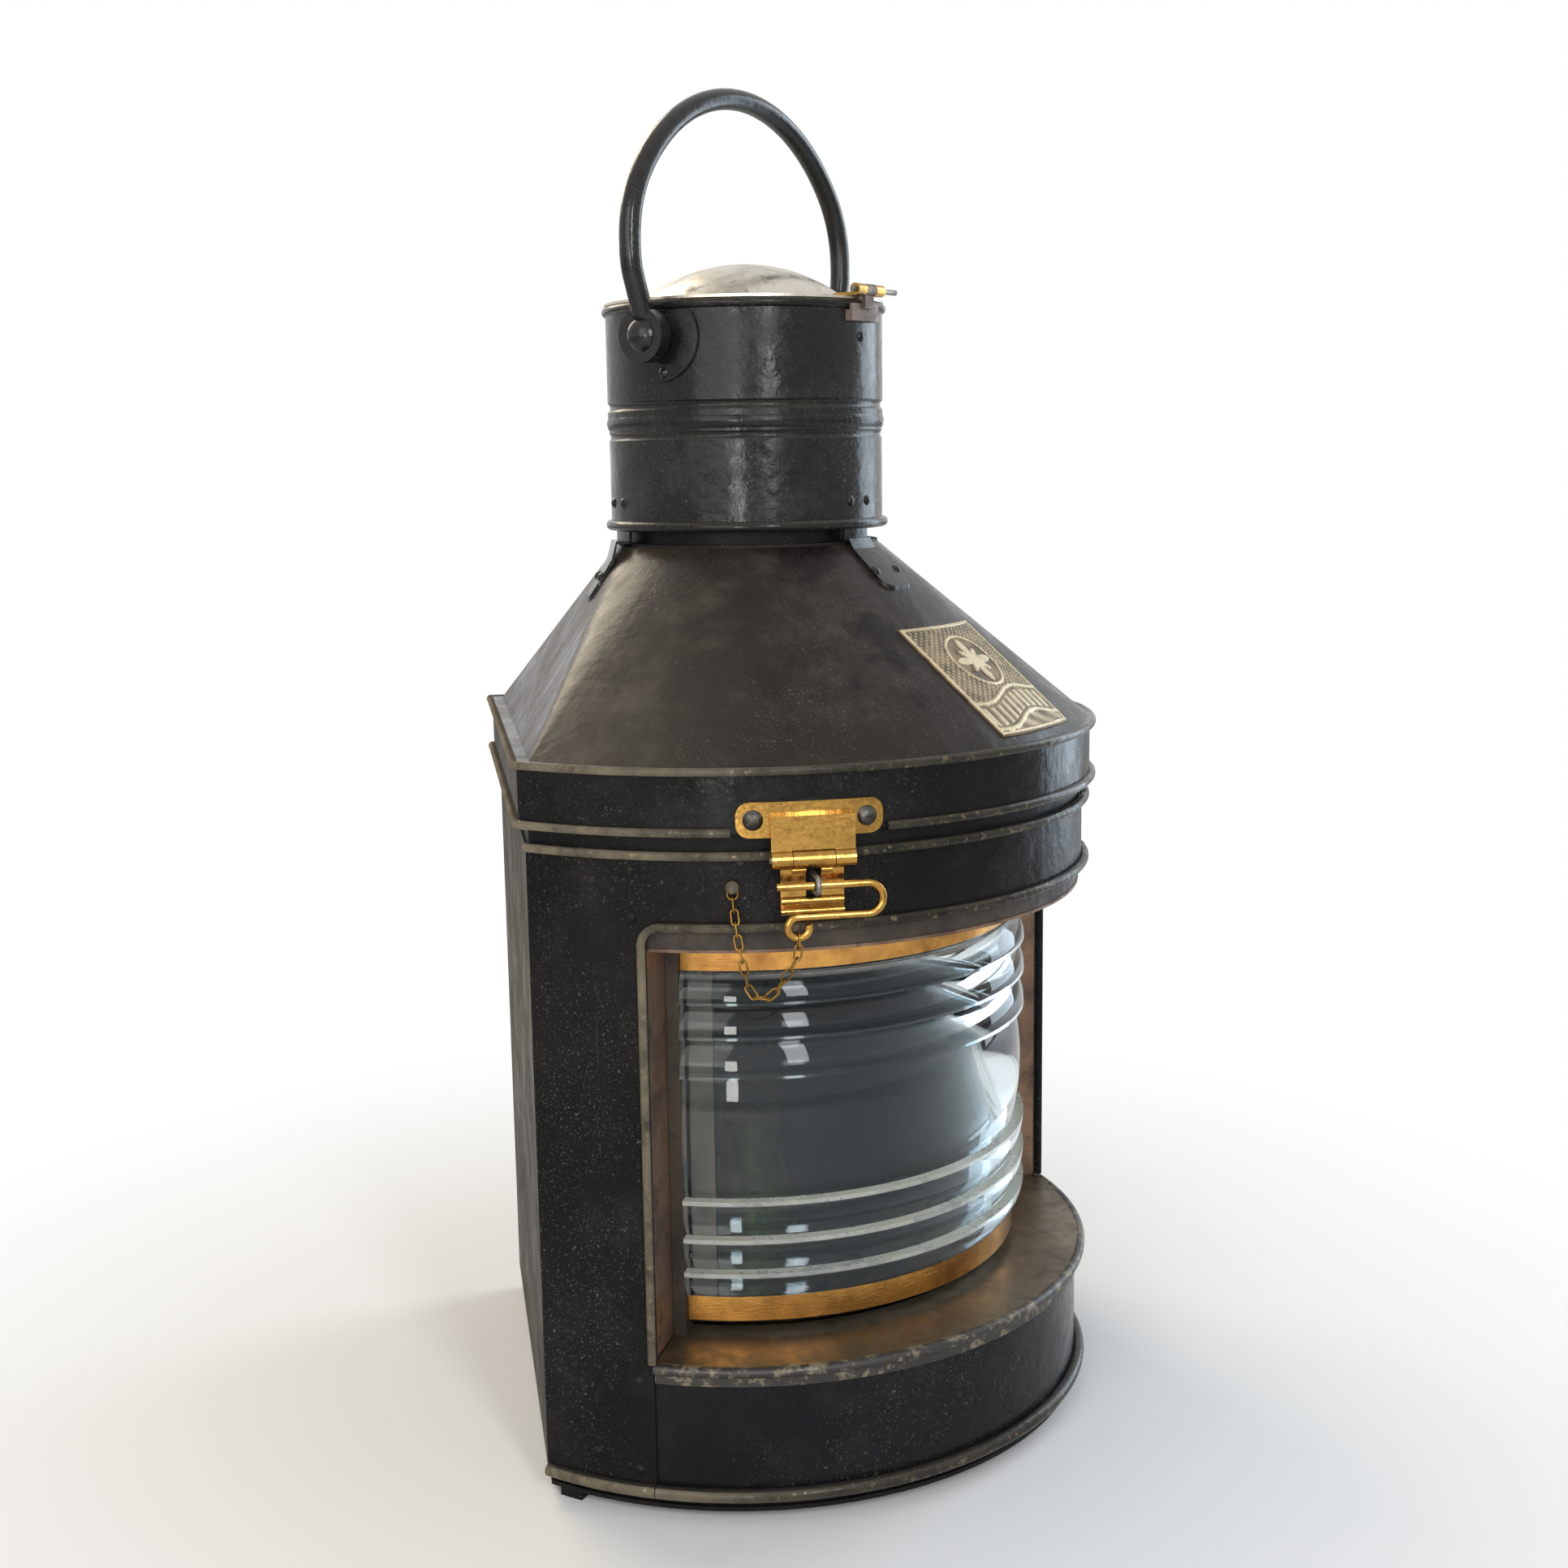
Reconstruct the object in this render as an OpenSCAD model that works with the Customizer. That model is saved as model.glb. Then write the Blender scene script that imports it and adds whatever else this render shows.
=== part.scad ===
// Starboard side lamp of the quarter-round kind, in millimetres.
// The origin is on the floor, under the centre of the round front. +Z is up.
// -Y faces the hasp, -X is the flat side that stands against the lamp board,
// and +Y is the flat side that carries the hinge of the hood.

/* [Casing] */
// Outer radius of the round front of the casing
front_r = 146.5; // [144:0.5:149]
// Distance of both flat sides from the centre of the round front
flat_d = 101; // [98:0.5:103]
// Thickness of the sheet metal
sheet = 1.2; // [1:0.1:1.4]
// Height of the recessed pan under the wired bottom edge
pan_h = 8.6; // [8:0.1:12]
// Height at which the casing ends in its flange bead
casing_top = 263; // [260:1:264]
// Radius of the wired edge beads
bead_r = 1.9; // [1.7:0.1:2]

/* [Window] */
// Angle at which the window starts, counted from +X
win_a0 = -114.5; // [-116:0.5:-112]
// Angle at which the window ends, counted from +X
win_a1 = 11.5; // [9:0.5:14]
// Height of the tray that forms the sill of the window
tray_z = 64; // [62:0.5:66]
// Height of the upper edge of the window
win_top = 236; // [234:0.5:237]

/* [Lens] */
// Height of the middle of the lens, where the flame stands
lens_z = 145.2; // [145:0.1:146]
// Inner radius of the clear lens
lens_in = 110.5; // [110:0.1:111]
// Outer radius of the plain glass between the ribs
lens_body_r = 117.6; // [117:0.1:118]
// Outer radius of the ribs
lens_rib_r = 122.4; // [121.5:0.1:122.8]
// Inner radius of the green signal glass
filter_in = 103; // [102:0.5:103]
// How thick the green signal glass is
filter_t = 3; // [2.5:0.1:3]

/* [Hood] */
// Height of the lower edge of the hood skirt
skirt_z = 270.3; // [269:0.1:271]
// Height of the ledge on which the cone stands
ledge_z = 296; // [295:0.1:297]
// Height of the top of the cone
cone_top_z = 370.5; // [366:0.5:371]
// Radius of the cone at its top
cone_top_r = 55.5; // [55:0.5:56]
// How far the chimney stands off the centre, along +X and along -Y
flue_shift = 3.3; // [3:0.1:3.5]
// Outer radius of the chimney
flue_r = 57.6; // [57:0.1:58]
// Height of the lower edge of the chimney
flue_z = 376.8; // [376.5:0.1:378]
// Height of the rolled top edge of the chimney
flue_top = 466.6; // [465:0.1:467]

/* [Bail handle] */
// Height of the axis on which the bail handle swings
bail_z = 454.3; // [452:0.1:455]
// Half the width of the bail between the middles of its legs
bail_half = 75; // [74:1:78]
// Radius of the round bar of the bail
bail_bar = 4.25; // [4:0.25:4.5]

/* [Hasp] */
// Height of the hinge axis of the hasp
hasp_z = 262.5; // [262.5:0.1:262.8]
// Distance of the hinge axis of the hasp from the centre
hasp_w = 154; // [153.8:0.1:154]
// Width of the slotted leaf of the hasp
leaf_w = 23.6; // [22:0.2:23.6]
// Radius of the wire of the clip pin
pin_r = 1.5; // [1.3:0.1:1.5]

/* [Lamp inside] */
// Radius of the oil font
font_r = 52; // [45:1:60]
// Height of the shoulder of the oil font
font_h = 58; // [50:1:60]

/* [Hidden] */
$fn = 72;
gap = 0.05;
in_r = front_r - sheet;
in_d = flat_d - sheet;
apron_r = in_r - gap;
wire_r = front_r + 1.3;
bottom_bead = 2.7;
bottom_bead_z = pan_h + bottom_bead;
foot_h = 4;
pressed = 8;
corner_r = 7;
hood_r = front_r + 3.1;
hood_d = flat_d + 2.4;
hood_bead = 1.8;
hood_wire = 0.8;
cone_r = hood_r - 1.2;
cone_d = hood_d - 4.6;
cone_h = cone_top_z - ledge_z;
cone_shift = flue_shift * sqrt(2);
cone_slope = (cone_r - cone_top_r - cone_shift) / cone_h;
flue_x = flue_shift;
flue_y = -flue_shift;
flue_in = flue_r - sheet;
neck_r = 50;
side_top = cone_top_r - flue_shift;
side_slope = (cone_d - side_top) / cone_h;
plug = 0.3;
black = [0.09, 0.09, 0.085];
copper = [0.45, 0.30, 0.20];
brass = [0.72, 0.56, 0.27];
tin = [0.72, 0.70, 0.62];
steel = [0.35, 0.35, 0.34];

// Plan of the lamp: a round front cut by two flat sides that meet at a right angle
module plan(r, d) {
    intersection() {
        circle(r);
        translate([-d, d - 2 * r]) square(2 * r);
    }
}

// Standing wall that follows the plan
module wall(r, d, z0, z1, t) {
    translate([0, 0, z0]) linear_extrude(z1 - z0) difference() {
        plan(r, d);
        plan(r - t, d - t);
    }
}

// Angle at which the round front meets the left flat side
function start_a(r, d) = acos(d / r) - 180;
// Angle at which the round front meets the back flat side
function end_a(r, d) = asin(d / r);

// Part of a round body, between two angles, from a profile of radius and height
module sector(a0, a1) {
    rotate_extrude(angle = a1 - a0, start = a0) children();
}

// Round wire bead along the round front
module arc_bead(r, z, tube, a0, a1) {
    sector(a0, a1) translate([r, z]) circle(tube);
}

// Rectangle from its lower left to its upper right corner
module box2(x0, y0, x1, y1) {
    translate([x0, y0]) square([x1 - x0, y1 - y0]);
}

// Block from its lowest to its highest corner
module block(lo, hi) {
    translate(lo) cube(hi - lo);
}

// Rounded rectangle about the origin
module round_rect(w, h, r) {
    square([w - 2 * r, h], center = true);
    square([w, h - 2 * r], center = true);
    for (x = [-1, 1], y = [-1, 1])
        translate([x * (w / 2 - r), y * (h / 2 - r)]) circle(r);
}

// Rod between two heights of the local axis that points out at an angle
module radial_rod(a, z, r, w0, w1) {
    rotate([0, 0, a]) translate([w0, 0, z]) rotate([0, 90, 0]) cylinder(r = r, h = w1 - w0);
}

// Domed rivet head, its base on the local XY plane
module rivet_head(r, h) {
    ball = (r * r + h * h) / (2 * h);
    intersection() {
        translate([0, 0, h - ball]) sphere(ball);
        cylinder(r = r + 1, h = h + 1);
    }
}

// Rivet head on a round wall
module wall_rivet(a, z, wall_r, r = 2.2, h = 1.2) {
    rotate([0, 0, a]) translate([wall_r + 0.02, 0, z]) rotate([0, 90, 0]) rivet_head(r, h);
}

// What is cut from the casing for the window: square below, rounded above
module window_cut() {
    turn = corner_r / front_r * 180 / PI;
    sector(win_a0, win_a1) box2(in_r - 20, -1, front_r + 20, win_top - corner_r);
    sector(win_a0 + turn, win_a1 - turn) box2(in_r - 20, -1, front_r + 20, win_top);
    for (a = [win_a0 + turn, win_a1 - turn])
        radial_rod(a, win_top - corner_r, corner_r, in_r - 20, front_r + 20);
}

// Wired edge of the window: two uprights, two corners and the lintel
module window_bead() {
    turn = corner_r / front_r * 180 / PI;
    for (side = [0, 1]) {
        a = side == 0 ? win_a0 : win_a1;
        inner = side == 0 ? win_a0 + turn : win_a1 - turn;
        rotate([0, 0, a]) translate([wire_r, 0, tray_z + 0.4])
            cylinder(r = bead_r, h = win_top - corner_r - tray_z + 0.3);
        rotate([0, 0, inner]) translate([wire_r, 0, win_top - corner_r]) rotate([90, 0, 90])
            rotate_extrude(angle = 90, start = side == 0 ? 90 : 0)
                translate([corner_r, 0]) circle(bead_r - 0.1);
    }
    arc_bead(wire_r, win_top, bead_r, win_a0 + turn - 0.25, win_a1 - turn + 0.25);
}

module casing() {
    a_start = start_a(front_r, flat_d);
    a_end = end_a(front_r, flat_d);
    color(black) {
        difference() {
            wall(front_r, flat_d, bottom_bead_z, casing_top, sheet);
            window_cut();
        }
        window_bead();
        arc_bead(wire_r, casing_top, bead_r, a_start + 0.4, a_end - 0.4);
        arc_bead(front_r + 0.6, bottom_bead_z, bottom_bead, a_start + 0.4, win_a0 - 0.1);
        arc_bead(front_r + 0.6, bottom_bead_z, bottom_bead, win_a1 + 0.1, a_end - 0.4);
    }
}

module front_apron() {
    color(black) {
        sector(win_a0 - 3.5, win_a1 + 3.5)
            box2(apron_r - sheet, bottom_bead_z + bottom_bead + gap, apron_r, tray_z - sheet - gap);
        sector(win_a0 + 0.05, win_a1 - 0.05)
            box2(apron_r - sheet + 0.02, bottom_bead_z, apron_r - 0.02, bottom_bead_z + 2 * bottom_bead);
        arc_bead(front_r + 0.6, bottom_bead_z, bottom_bead, win_a0 + 0.05, win_a1 - 0.05);
    }
}

module base_pan() {
    r = apron_r - sheet - gap;
    d = in_d - gap;
    color(black) difference() {
        union() {
            linear_extrude(foot_h + sheet) plan(r - pressed, d - pressed);
            translate([0, 0, foot_h]) linear_extrude(pan_h + 9) plan(r, d);
            translate([0, 0, foot_h]) linear_extrude(1.8) plan(r + 1.4, d);
        }
        translate([0, 0, sheet]) linear_extrude(pan_h + 12) plan(r - pressed - sheet, d - pressed - sheet);
        translate([0, 0, foot_h + sheet]) linear_extrude(pan_h + 12) plan(r - sheet, d - sheet);
    }
}

module corner_feet() {
    r = apron_r - sheet - gap;
    d = in_d - gap;
    color(steel) for (a = [start_a(r, d) + 4, end_a(r, d) - 4])
        sector(a - 2, a + 2) box2(r - pressed + gap, 0, r + 0.4, foot_h - gap);
}

module hood_collar() {
    color(black) wall(in_r - gap, in_d - gap, casing_top - 14, ledge_z - 1.6, sheet);
}

module window_tray() {
    color(copper) {
        sector(win_a0 + 0.2, win_a1 - 0.2) {
            box2(lens_in - 1, tray_z - sheet, front_r + 0.8, tray_z);
            translate([front_r + 1.1, tray_z - 1.8]) circle(2.1);
            box2(apron_r + gap, tray_z - 8, front_r + 0.5, tray_z - 2);
        }
    }
}

module window_ceiling() {
    color(copper) sector(win_a0 + 0.2, win_a1 - 0.2)
        box2(lens_in - 1, win_top - 10, in_r - gap, win_top - 10 + sheet);
}

// Side lining of the window, standing on its inner edge
module jamb(a, turn_out) {
    color(copper) rotate([0, 0, a]) translate([0, turn_out ? 0 : -sheet, 0])
        block([lens_in - 1, 0, tray_z], [in_r - 0.1, sheet, win_top - 10]);
}

module jamb_left() {
    jamb(win_a0, false);
}

module jamb_right() {
    jamb(win_a1, true);
}

// Half profile of the dioptric lens: a bulged belt, and above and below it three
// ribs that stand out most at their edge nearest the belt and fall away from it
rib_edges = [24.7, 40.3, 54.2, 65.5];
lens_low = lens_z - rib_edges[3] - 11.7;
lens_high = lens_z + rib_edges[3] + 11.3;
flange_r = 115.5;
ring_h = 10;
module lens_profile() {
    belt_r = lens_body_r + 3.4;
    belt_sag = 3;
    belt_ball = (rib_edges[0] * rib_edges[0] + belt_sag * belt_sag) / (2 * belt_sag);
    fall = lens_rib_r - lens_body_r + 0.3;
    box2(lens_in, lens_low, flange_r, lens_high);
    box2(lens_in, lens_z - rib_edges[3], lens_body_r, lens_z + rib_edges[3]);
    intersection() {
        translate([belt_r - belt_ball, lens_z]) circle(belt_ball);
        box2(lens_in + 1, lens_z - rib_edges[0], lens_rib_r, lens_z + rib_edges[0]);
    }
    for (i = [0:2], side = [-1, 1]) {
        width = rib_edges[i + 1] - rib_edges[i];
        ball = (width * width + fall * fall) / (2 * fall);
        edge = lens_z + side * rib_edges[i];
        intersection() {
            translate([lens_rib_r - ball, edge]) circle(ball);
            box2(lens_in + 1, min(edge, edge + side * width), lens_rib_r + 1, max(edge, edge + side * width));
        }
    }
}

module lens_glass() {
    color([0.75, 0.85, 0.83, 0.5]) sector(win_a0 + 2.6, win_a1 - 2.6) lens_profile();
}

module lens_ring(z0) {
    color(brass) sector(win_a0 + 2.6, win_a1 - 2.6) {
        box2(flange_r + gap, z0, flange_r + 1.9, z0 + ring_h);
    }
}

module lens_ring_lower() {
    lens_ring(lens_low + 1.5);
}

module lens_ring_upper() {
    lens_ring(lens_high - ring_h);
}

module lens_posts() {
    color(copper) for (a = [win_a0 + 0.1, win_a1 - 2.5])
        sector(a, a + 2.4) box2(lens_in - 0.8, tray_z, lens_rib_r - 2, win_top - 10);
}

filter_low = tray_z + 4;
filter_high = win_top - 22;
module signal_glass() {
    color([0.05, 0.45, 0.25, 0.6]) sector(win_a0 + 5, win_a1 - 5)
        box2(filter_in, filter_low, filter_in + filter_t, filter_high);
}

// Upright channel that holds one edge of the green glass
module guide(a, dir) {
    a_web = dir > 0 ? [a, a + 1.6] : [a - 1.6, a];
    a_lip = dir > 0 ? [a, a + 5] : [a - 5, a];
    r0 = filter_in - plug - sheet;
    r1 = filter_in + filter_t + plug + sheet;
    sector(a_web[0], a_web[1]) box2(r0, filter_low - 3.5, r1, filter_high + 2);
    sector(a_lip[0], a_lip[1]) {
        box2(r0, filter_low - 3.5, r0 + sheet, filter_high + 2);
        box2(r1 - sheet, filter_low - 3.5, r1, filter_high + 2);
        box2(r0, filter_low - 3.5, r1, filter_low - plug);
    }
}

module signal_glass_guides() {
    color(copper) {
        guide(win_a0 + 3, 1);
        guide(win_a1 - 3, -1);
    }
}

module casing_rivets() {
    spots = [[win_a0 - 2.3, 55.4], [win_a0 - 2.7, 19], [win_a0 - 9.7, 23.8], [win_a0 - 1.7, 238.6],
             [win_a0 - 7.7, 251.9], [win_a0 - 1.8, 257],
             [win_a1 + 2.3, 55.4], [win_a1 + 2.7, 19], [win_a1 + 1.7, 238.6], [win_a1 + 1.8, 257]];
    color(black) for (s = spots) wall_rivet(s[0], s[1], front_r);
}

// The hasp, its staple and its pin stand at the front, where the outward way is -Y
eye_z = hasp_z - 8.9;
eye_w = hasp_w + 5;
eye_r = 3;
staple_x = 0.4;
staple_r = 1;
plate_w = front_r + gap;
module staple_plate() {
    z = eye_z - 4;
    color(black) intersection() {
        sector(-110, -70) box2(plate_w, z - 13, plate_w + 1.4, z + 13);
        translate([0, 0, z]) rotate([90, 0, 0]) linear_extrude(200) {
            for (x = [-5, 5]) translate([x, 0]) circle(11.2);
            square([10, 22.4], center = true);
        }
    }
}

module staple() {
    color(steel) translate([staple_x, 0, eye_z]) {
        for (z = [-eye_r, eye_r])
            translate([0, -plate_w - 1.45, z]) rotate([90, 0, 0])
                cylinder(r = staple_r, h = eye_w - plate_w - 1.45);
        translate([0, -eye_w, 0]) rotate([0, 90, 0]) rotate([0, 0, 180])
            rotate_extrude(angle = 180) translate([eye_r, 0]) circle(staple_r);
    }
}

// U-shaped wire clip: long leg through the staple, bend, lower leg, end loop
clip_left = -14.5;
clip_right = 19.1;
clip_bend = 5.7;
clip_low = eye_z - 2 * clip_bend;
loop_r = 3.9;
loop_x = -6.7;
module clip_pin() {
    color(brass) translate([0, -eye_w, 0]) {
        translate([clip_left, 0, eye_z]) rotate([0, 90, 0]) cylinder(r = pin_r, h = clip_right - clip_left);
        translate([clip_right, 0, eye_z - clip_bend]) rotate([90, 0, 0])
            rotate_extrude(angle = 180, start = -90) translate([clip_bend, 0]) circle(pin_r);
        translate([loop_x, 0, clip_low]) rotate([0, 90, 0]) cylinder(r = pin_r, h = clip_right - loop_x);
        translate([loop_x, 0, clip_low - loop_r]) rotate([90, 0, 0])
            rotate_extrude(angle = 285, start = 90) translate([loop_r, 0]) circle(pin_r);
    }
}

// One link of the chain, long in local X, its ring in the plane of X and Y
link_wire = 0.42;
module link(half, ring) {
    for (side = [0, 180]) rotate([0, 0, side]) {
        translate([half - ring, 0, 0]) rotate_extrude(angle = 180, start = -90)
            translate([ring, 0]) circle(link_wire);
        translate([0, ring, 0]) x_rod(ring - half - 0.05, half - ring + 0.05, link_wire - 0.01);
    }
}

module chain_end_link() {
    color(brass) translate([loop_x, -eye_w, clip_low - 2 * loop_r - 0.9]) rotate([0, -90, 0]) link(3, 2.1);
}

stud_a = -101.1;
stud_z = eye_z - 1.9;
stud_ring_r = front_r + 2;
stud_ring_z = stud_z - 1.5;
module chain_stud() {
    color(steel) {
        radial_rod(stud_a, stud_z, 1.2, front_r + gap, front_r + 3.6);
        rotate([0, 0, stud_a]) translate([front_r + 3, 0, stud_z]) rotate([0, 90, 0]) rivet_head(2.5, 1.4);
    }
}

// The chain hangs in a V between the stud and the clip pin. One link lies between
// each point and the next, in turn on edge and flat to the casing.
chain_points = [[-28.6, -145.7, 247.5], [-28.4, -147.7, 243.2], [-28.1, -148.8, 238.6],
                [-27.7, -149.5, 234.0], [-27.0, -150.1, 229.4], [-26.2, -150.8, 224.8],
                [-25.4, -151.6, 220.2], [-24.6, -152.3, 215.6], [-22.2, -153.4, 211.7],
                [-17.9, -155.2, 211.6], [-14.6, -156.6, 214.7], [-12.1, -157.6, 218.6],
                [-9.7, -158.4, 222.5], [-7.3, -158.9, 226.7], [-6.6, -159.0, 231.4]];
module safety_chain() {
    color(brass) {
        rotate([0, 0, stud_a]) translate([stud_ring_r, 0, stud_ring_z]) rotate([0, 90, 0]) link(3.2, 1.9);
        for (i = [0:len(chain_points) - 2]) {
            run = chain_points[i + 1] - chain_points[i];
            middle = (chain_points[i + 1] + chain_points[i]) / 2;
            across = cross(run, [middle[0], middle[1], 0]);
            out = cross(across, run);
            u = run / norm(run);
            v = i % 2 == 1 ? across / norm(across) : out / norm(out);
            w = cross(u, v);
            multmatrix([[u[0], v[0], w[0], middle[0]], [u[1], v[1], w[1], middle[1]], [u[2], v[2], w[2], middle[2]]])
                link(2.9, 1.35);
        }
    }
}

// Hinge of the hood, on the back flat side
hinge_y = flat_d + 5.5;
hinge_z = skirt_z - 2.8;
hinge_r = 3;
hinge_pin_r = 1.6;
hinge_half = 30;
function knuckles(half, count) = [for (i = [0:count - 1])
    [-half + 2 * half * i / count + 0.15, -half + 2 * half * (i + 1) / count - 0.15]];
module x_rod(x0, x1, r) {
    translate([x0, 0, 0]) rotate([0, 90, 0]) cylinder(r = r, h = x1 - x0);
}

module hood_hinge_lower_leaf() {
    k = knuckles(hinge_half, 5);
    color(black) difference() {
        union() {
            block([-hinge_half - 4, flat_d + gap, 238], [hinge_half + 4, flat_d + 1.6, 260]);
            for (i = [0, 2, 4]) {
                block([k[i][0], flat_d + gap, 256], [k[i][1], flat_d + 1.6, hinge_z]);
                translate([0, hinge_y, hinge_z]) x_rod(k[i][0], k[i][1], hinge_r);
                block([k[i][0], flat_d + 0.5, hinge_z - 3], [k[i][1], hinge_y, hinge_z - 1]);
            }
        }
        translate([0, hinge_y, hinge_z]) x_rod(-60, 60, hinge_pin_r + 0.05);
    }
}

module hood_hinge_upper_leaf() {
    k = knuckles(hinge_half, 5);
    y0 = hood_d + gap;
    color(black) difference() {
        union() {
            block([-hinge_half - 4, y0, skirt_z + 1], [hinge_half + 4, y0 + 1.3, ledge_z - 4.4]);
            for (i = [1, 3]) {
                translate([0, hinge_y, hinge_z]) x_rod(k[i][0], k[i][1], hinge_r);
                block([k[i][0], y0, hinge_z + 1], [k[i][1], hinge_y - 0.8, skirt_z + 1.6]);
            }
        }
        translate([0, hinge_y, hinge_z]) x_rod(-60, 60, hinge_pin_r + 0.05);
    }
}

module hood_hinge_pin() {
    color(steel) translate([0, hinge_y, hinge_z]) {
        x_rod(-hinge_half - 1, hinge_half + 1, hinge_pin_r);
        for (x = [-hinge_half - 2, hinge_half + 0.6]) x_rod(x, x + 1.4, hinge_pin_r + 0.9);
    }
}

// Bead round the plan of the hood: two straight lengths, a round corner and the arc
module hood_sides(z, back_gap) {
    r = hood_r + hood_wire;
    d = hood_d + hood_wire;
    far = sqrt(r * r - d * d);
    for (corner = [[-d, d], [-d, -far], [far, d]])
        translate([corner[0], corner[1], z]) rotate([70, 0, 30]) sphere(hood_bead + 0.1);
    translate([-d, -far, z]) rotate([-90, 0, 0]) cylinder(r = hood_bead, h = far + d);
    translate([0, d, z]) {
        x_rod(-d, -back_gap, hood_bead);
        x_rod(back_gap, far, hood_bead);
    }
}

// Bead along the round front of the hood, between two angles
module hood_arc(z, a0, a1) {
    arc_bead(hood_r + hood_wire, z, hood_bead, a0, a1);
}

module hood_skirt() {
    a0 = start_a(hood_r + hood_wire, hood_d + hood_wire);
    a1 = end_a(hood_r + hood_wire, hood_d + hood_wire);
    low = skirt_z + hood_bead;
    high = ledge_z - hood_bead + 0.4;
    color(black) {
        wall(hood_r, hood_d, skirt_z + 1.2, ledge_z, sheet);
        wall(hood_r - 0.5, hood_d - 0.5, ledge_z - sheet, ledge_z, 9);
        hood_sides(low, hinge_half + 5);
        hood_arc(low, a0, -90 - 11.2);
        hood_arc(low, -90 + 11.2, a1);
        hood_sides(high, 0);
        hood_arc(high, a0, a1);
    }
}

// Cone of the hood: lofted from the plan of the lamp to the circle under the chimney
module cone_body(r, d, top_r, z0, z1) {
    hull() {
        translate([0, 0, z0]) linear_extrude(0.01) plan(r, d);
        translate([flue_x, flue_y, z1 - 0.01]) cylinder(r = top_r, h = 0.01);
    }
}

module hood_cone() {
    wall_t = 1.8;
    color(black) difference() {
        cone_body(cone_r, cone_d, cone_top_r, ledge_z, cone_top_z, $fn = 128);
        cone_body(cone_r - wall_t, cone_d - wall_t, cone_top_r - wall_t, ledge_z - 0.2, cone_top_z + 0.2, $fn = 128);
    }
}

module hood_neck() {
    color(black) difference() {
        union() {
            translate([flue_x, flue_y, cone_top_z]) cylinder(r = cone_top_r - 0.1, h = sheet);
            translate([flue_x, flue_y, cone_top_z]) cylinder(r = neck_r, h = 20);
        }
        translate([flue_x, flue_y, cone_top_z - 1]) cylinder(r = neck_r - sheet, h = 30);
    }
}

// Height of the outer face of the cone at a radius
function cone_z(r) = cone_top_z - (r - cone_top_r - cone_shift) / cone_slope;
// Height of the outer face of a flat side of the cone at a distance from the middle
function side_z(d) = cone_top_z - (d - side_top) / side_slope;

// Profile of a strap: flat under the chimney, then down the slope
module strap_profile(start, edge, r, z, r_end, z_end) {
    low = cone_top_z + sheet + gap;
    polygon([[start, low], [edge, low], [r, z + 0.1], [r_end, z_end + 0.1],
             [r_end + 0.9, z_end + 1.2], [r + 1, z + 1.2], [edge + 0.4, low + 1.2], [start, low + 1.2]]);
}

// What a bracket keeps of its strap, seen from above: a foot with round corners
module foot_mask(r_end, width) {
    translate([r_end - 30, 0, cone_top_z - 40]) linear_extrude(60) round_rect(60, width, 5);
}

// Three brackets: one on the round side of the cone and one on each flat side
function front_z(r) = cone_top_z - (r - cone_top_r) / cone_slope;
front_turn = -45.3;
front_end = 77;
front_rivet = 70.1;
side_end = 66.5;
side_rivet = 61.5;
side_step = 13;
tab_angles = [-46.5, 78, -168];
module chimney_brackets() {
    low = cone_top_z + sheet + gap;
    color(black) {
        translate([flue_x, flue_y, 0]) {
            rotate([0, 0, front_turn]) intersection() {
                sector(-8, 8) strap_profile(neck_r + 0.3, 57, 58.8, front_z(58.8), front_end + 4, front_z(front_end + 4));
                foot_mask(front_end, 20);
            }
            for (a = tab_angles)
                sector(a - 8.5, a + 8.5) box2(flue_in - gap - sheet, low + 0.5, flue_in - gap, flue_z + 18);
        }
        for (side = [0, 1]) rotate([0, 0, side == 0 ? 180 : 90]) translate([0, side == 0 ? side_step : -side_step, 0])
            intersection() {
                translate([0, 11, 0]) rotate([90, 0, 0]) linear_extrude(22)
                    strap_profile(50, 54.6, 56, side_z(56), side_end + 4, side_z(side_end + 4));
                foot_mask(side_end, 19);
            }
    }
}

module chimney() {
    swage_z = 421;
    color(black) translate([flue_x, flue_y, 0]) {
        rotate_extrude() {
            difference() {
                union() {
                    box2(flue_in, flue_z + 1, flue_r, flue_top);
                    box2(flue_in, swage_z, flue_r + 0.4, flue_top);
                    translate([flue_r + 0.2, flue_z + 2.2]) circle(2.1);
                    translate([flue_r - 4.1, swage_z]) circle(5);
                    translate([flue_r, flue_top]) circle(1.95);
                }
                box2(0, 0, flue_in, 600);
                for (z = [swage_z - 5.6, swage_z + 6.4]) translate([flue_r + 1.7, z]) circle(2.3);
            }
        }
    }
}

module hood_rivets() {
    color(black) {
        translate([flue_x, flue_y, 0]) {
            for (a = tab_angles, side = [-6, 6]) wall_rivet(a + side, flue_z + 11.5, flue_r);
            wall_rivet(-45, flue_top - 12.8, flue_r + 0.4);
            for (side = [-6.5, 6.5]) rotate([0, 0, front_turn + side])
                translate([front_rivet, 0, front_z(front_rivet) + 2.1])
                    rotate([0, 90 - atan(cone_slope), 0]) rivet_head(2.2, 1.2);
        }
        for (turn = [180, 90], side = [-6.2, 6.2]) rotate([0, 0, turn])
            translate([side_rivet, side + (turn == 180 ? side_step : -side_step), side_z(side_rivet) + 2.85])
                rotate([0, 90 - atan(side_slope), 0]) rivet_head(2.2, 1.2);
    }
}

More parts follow.
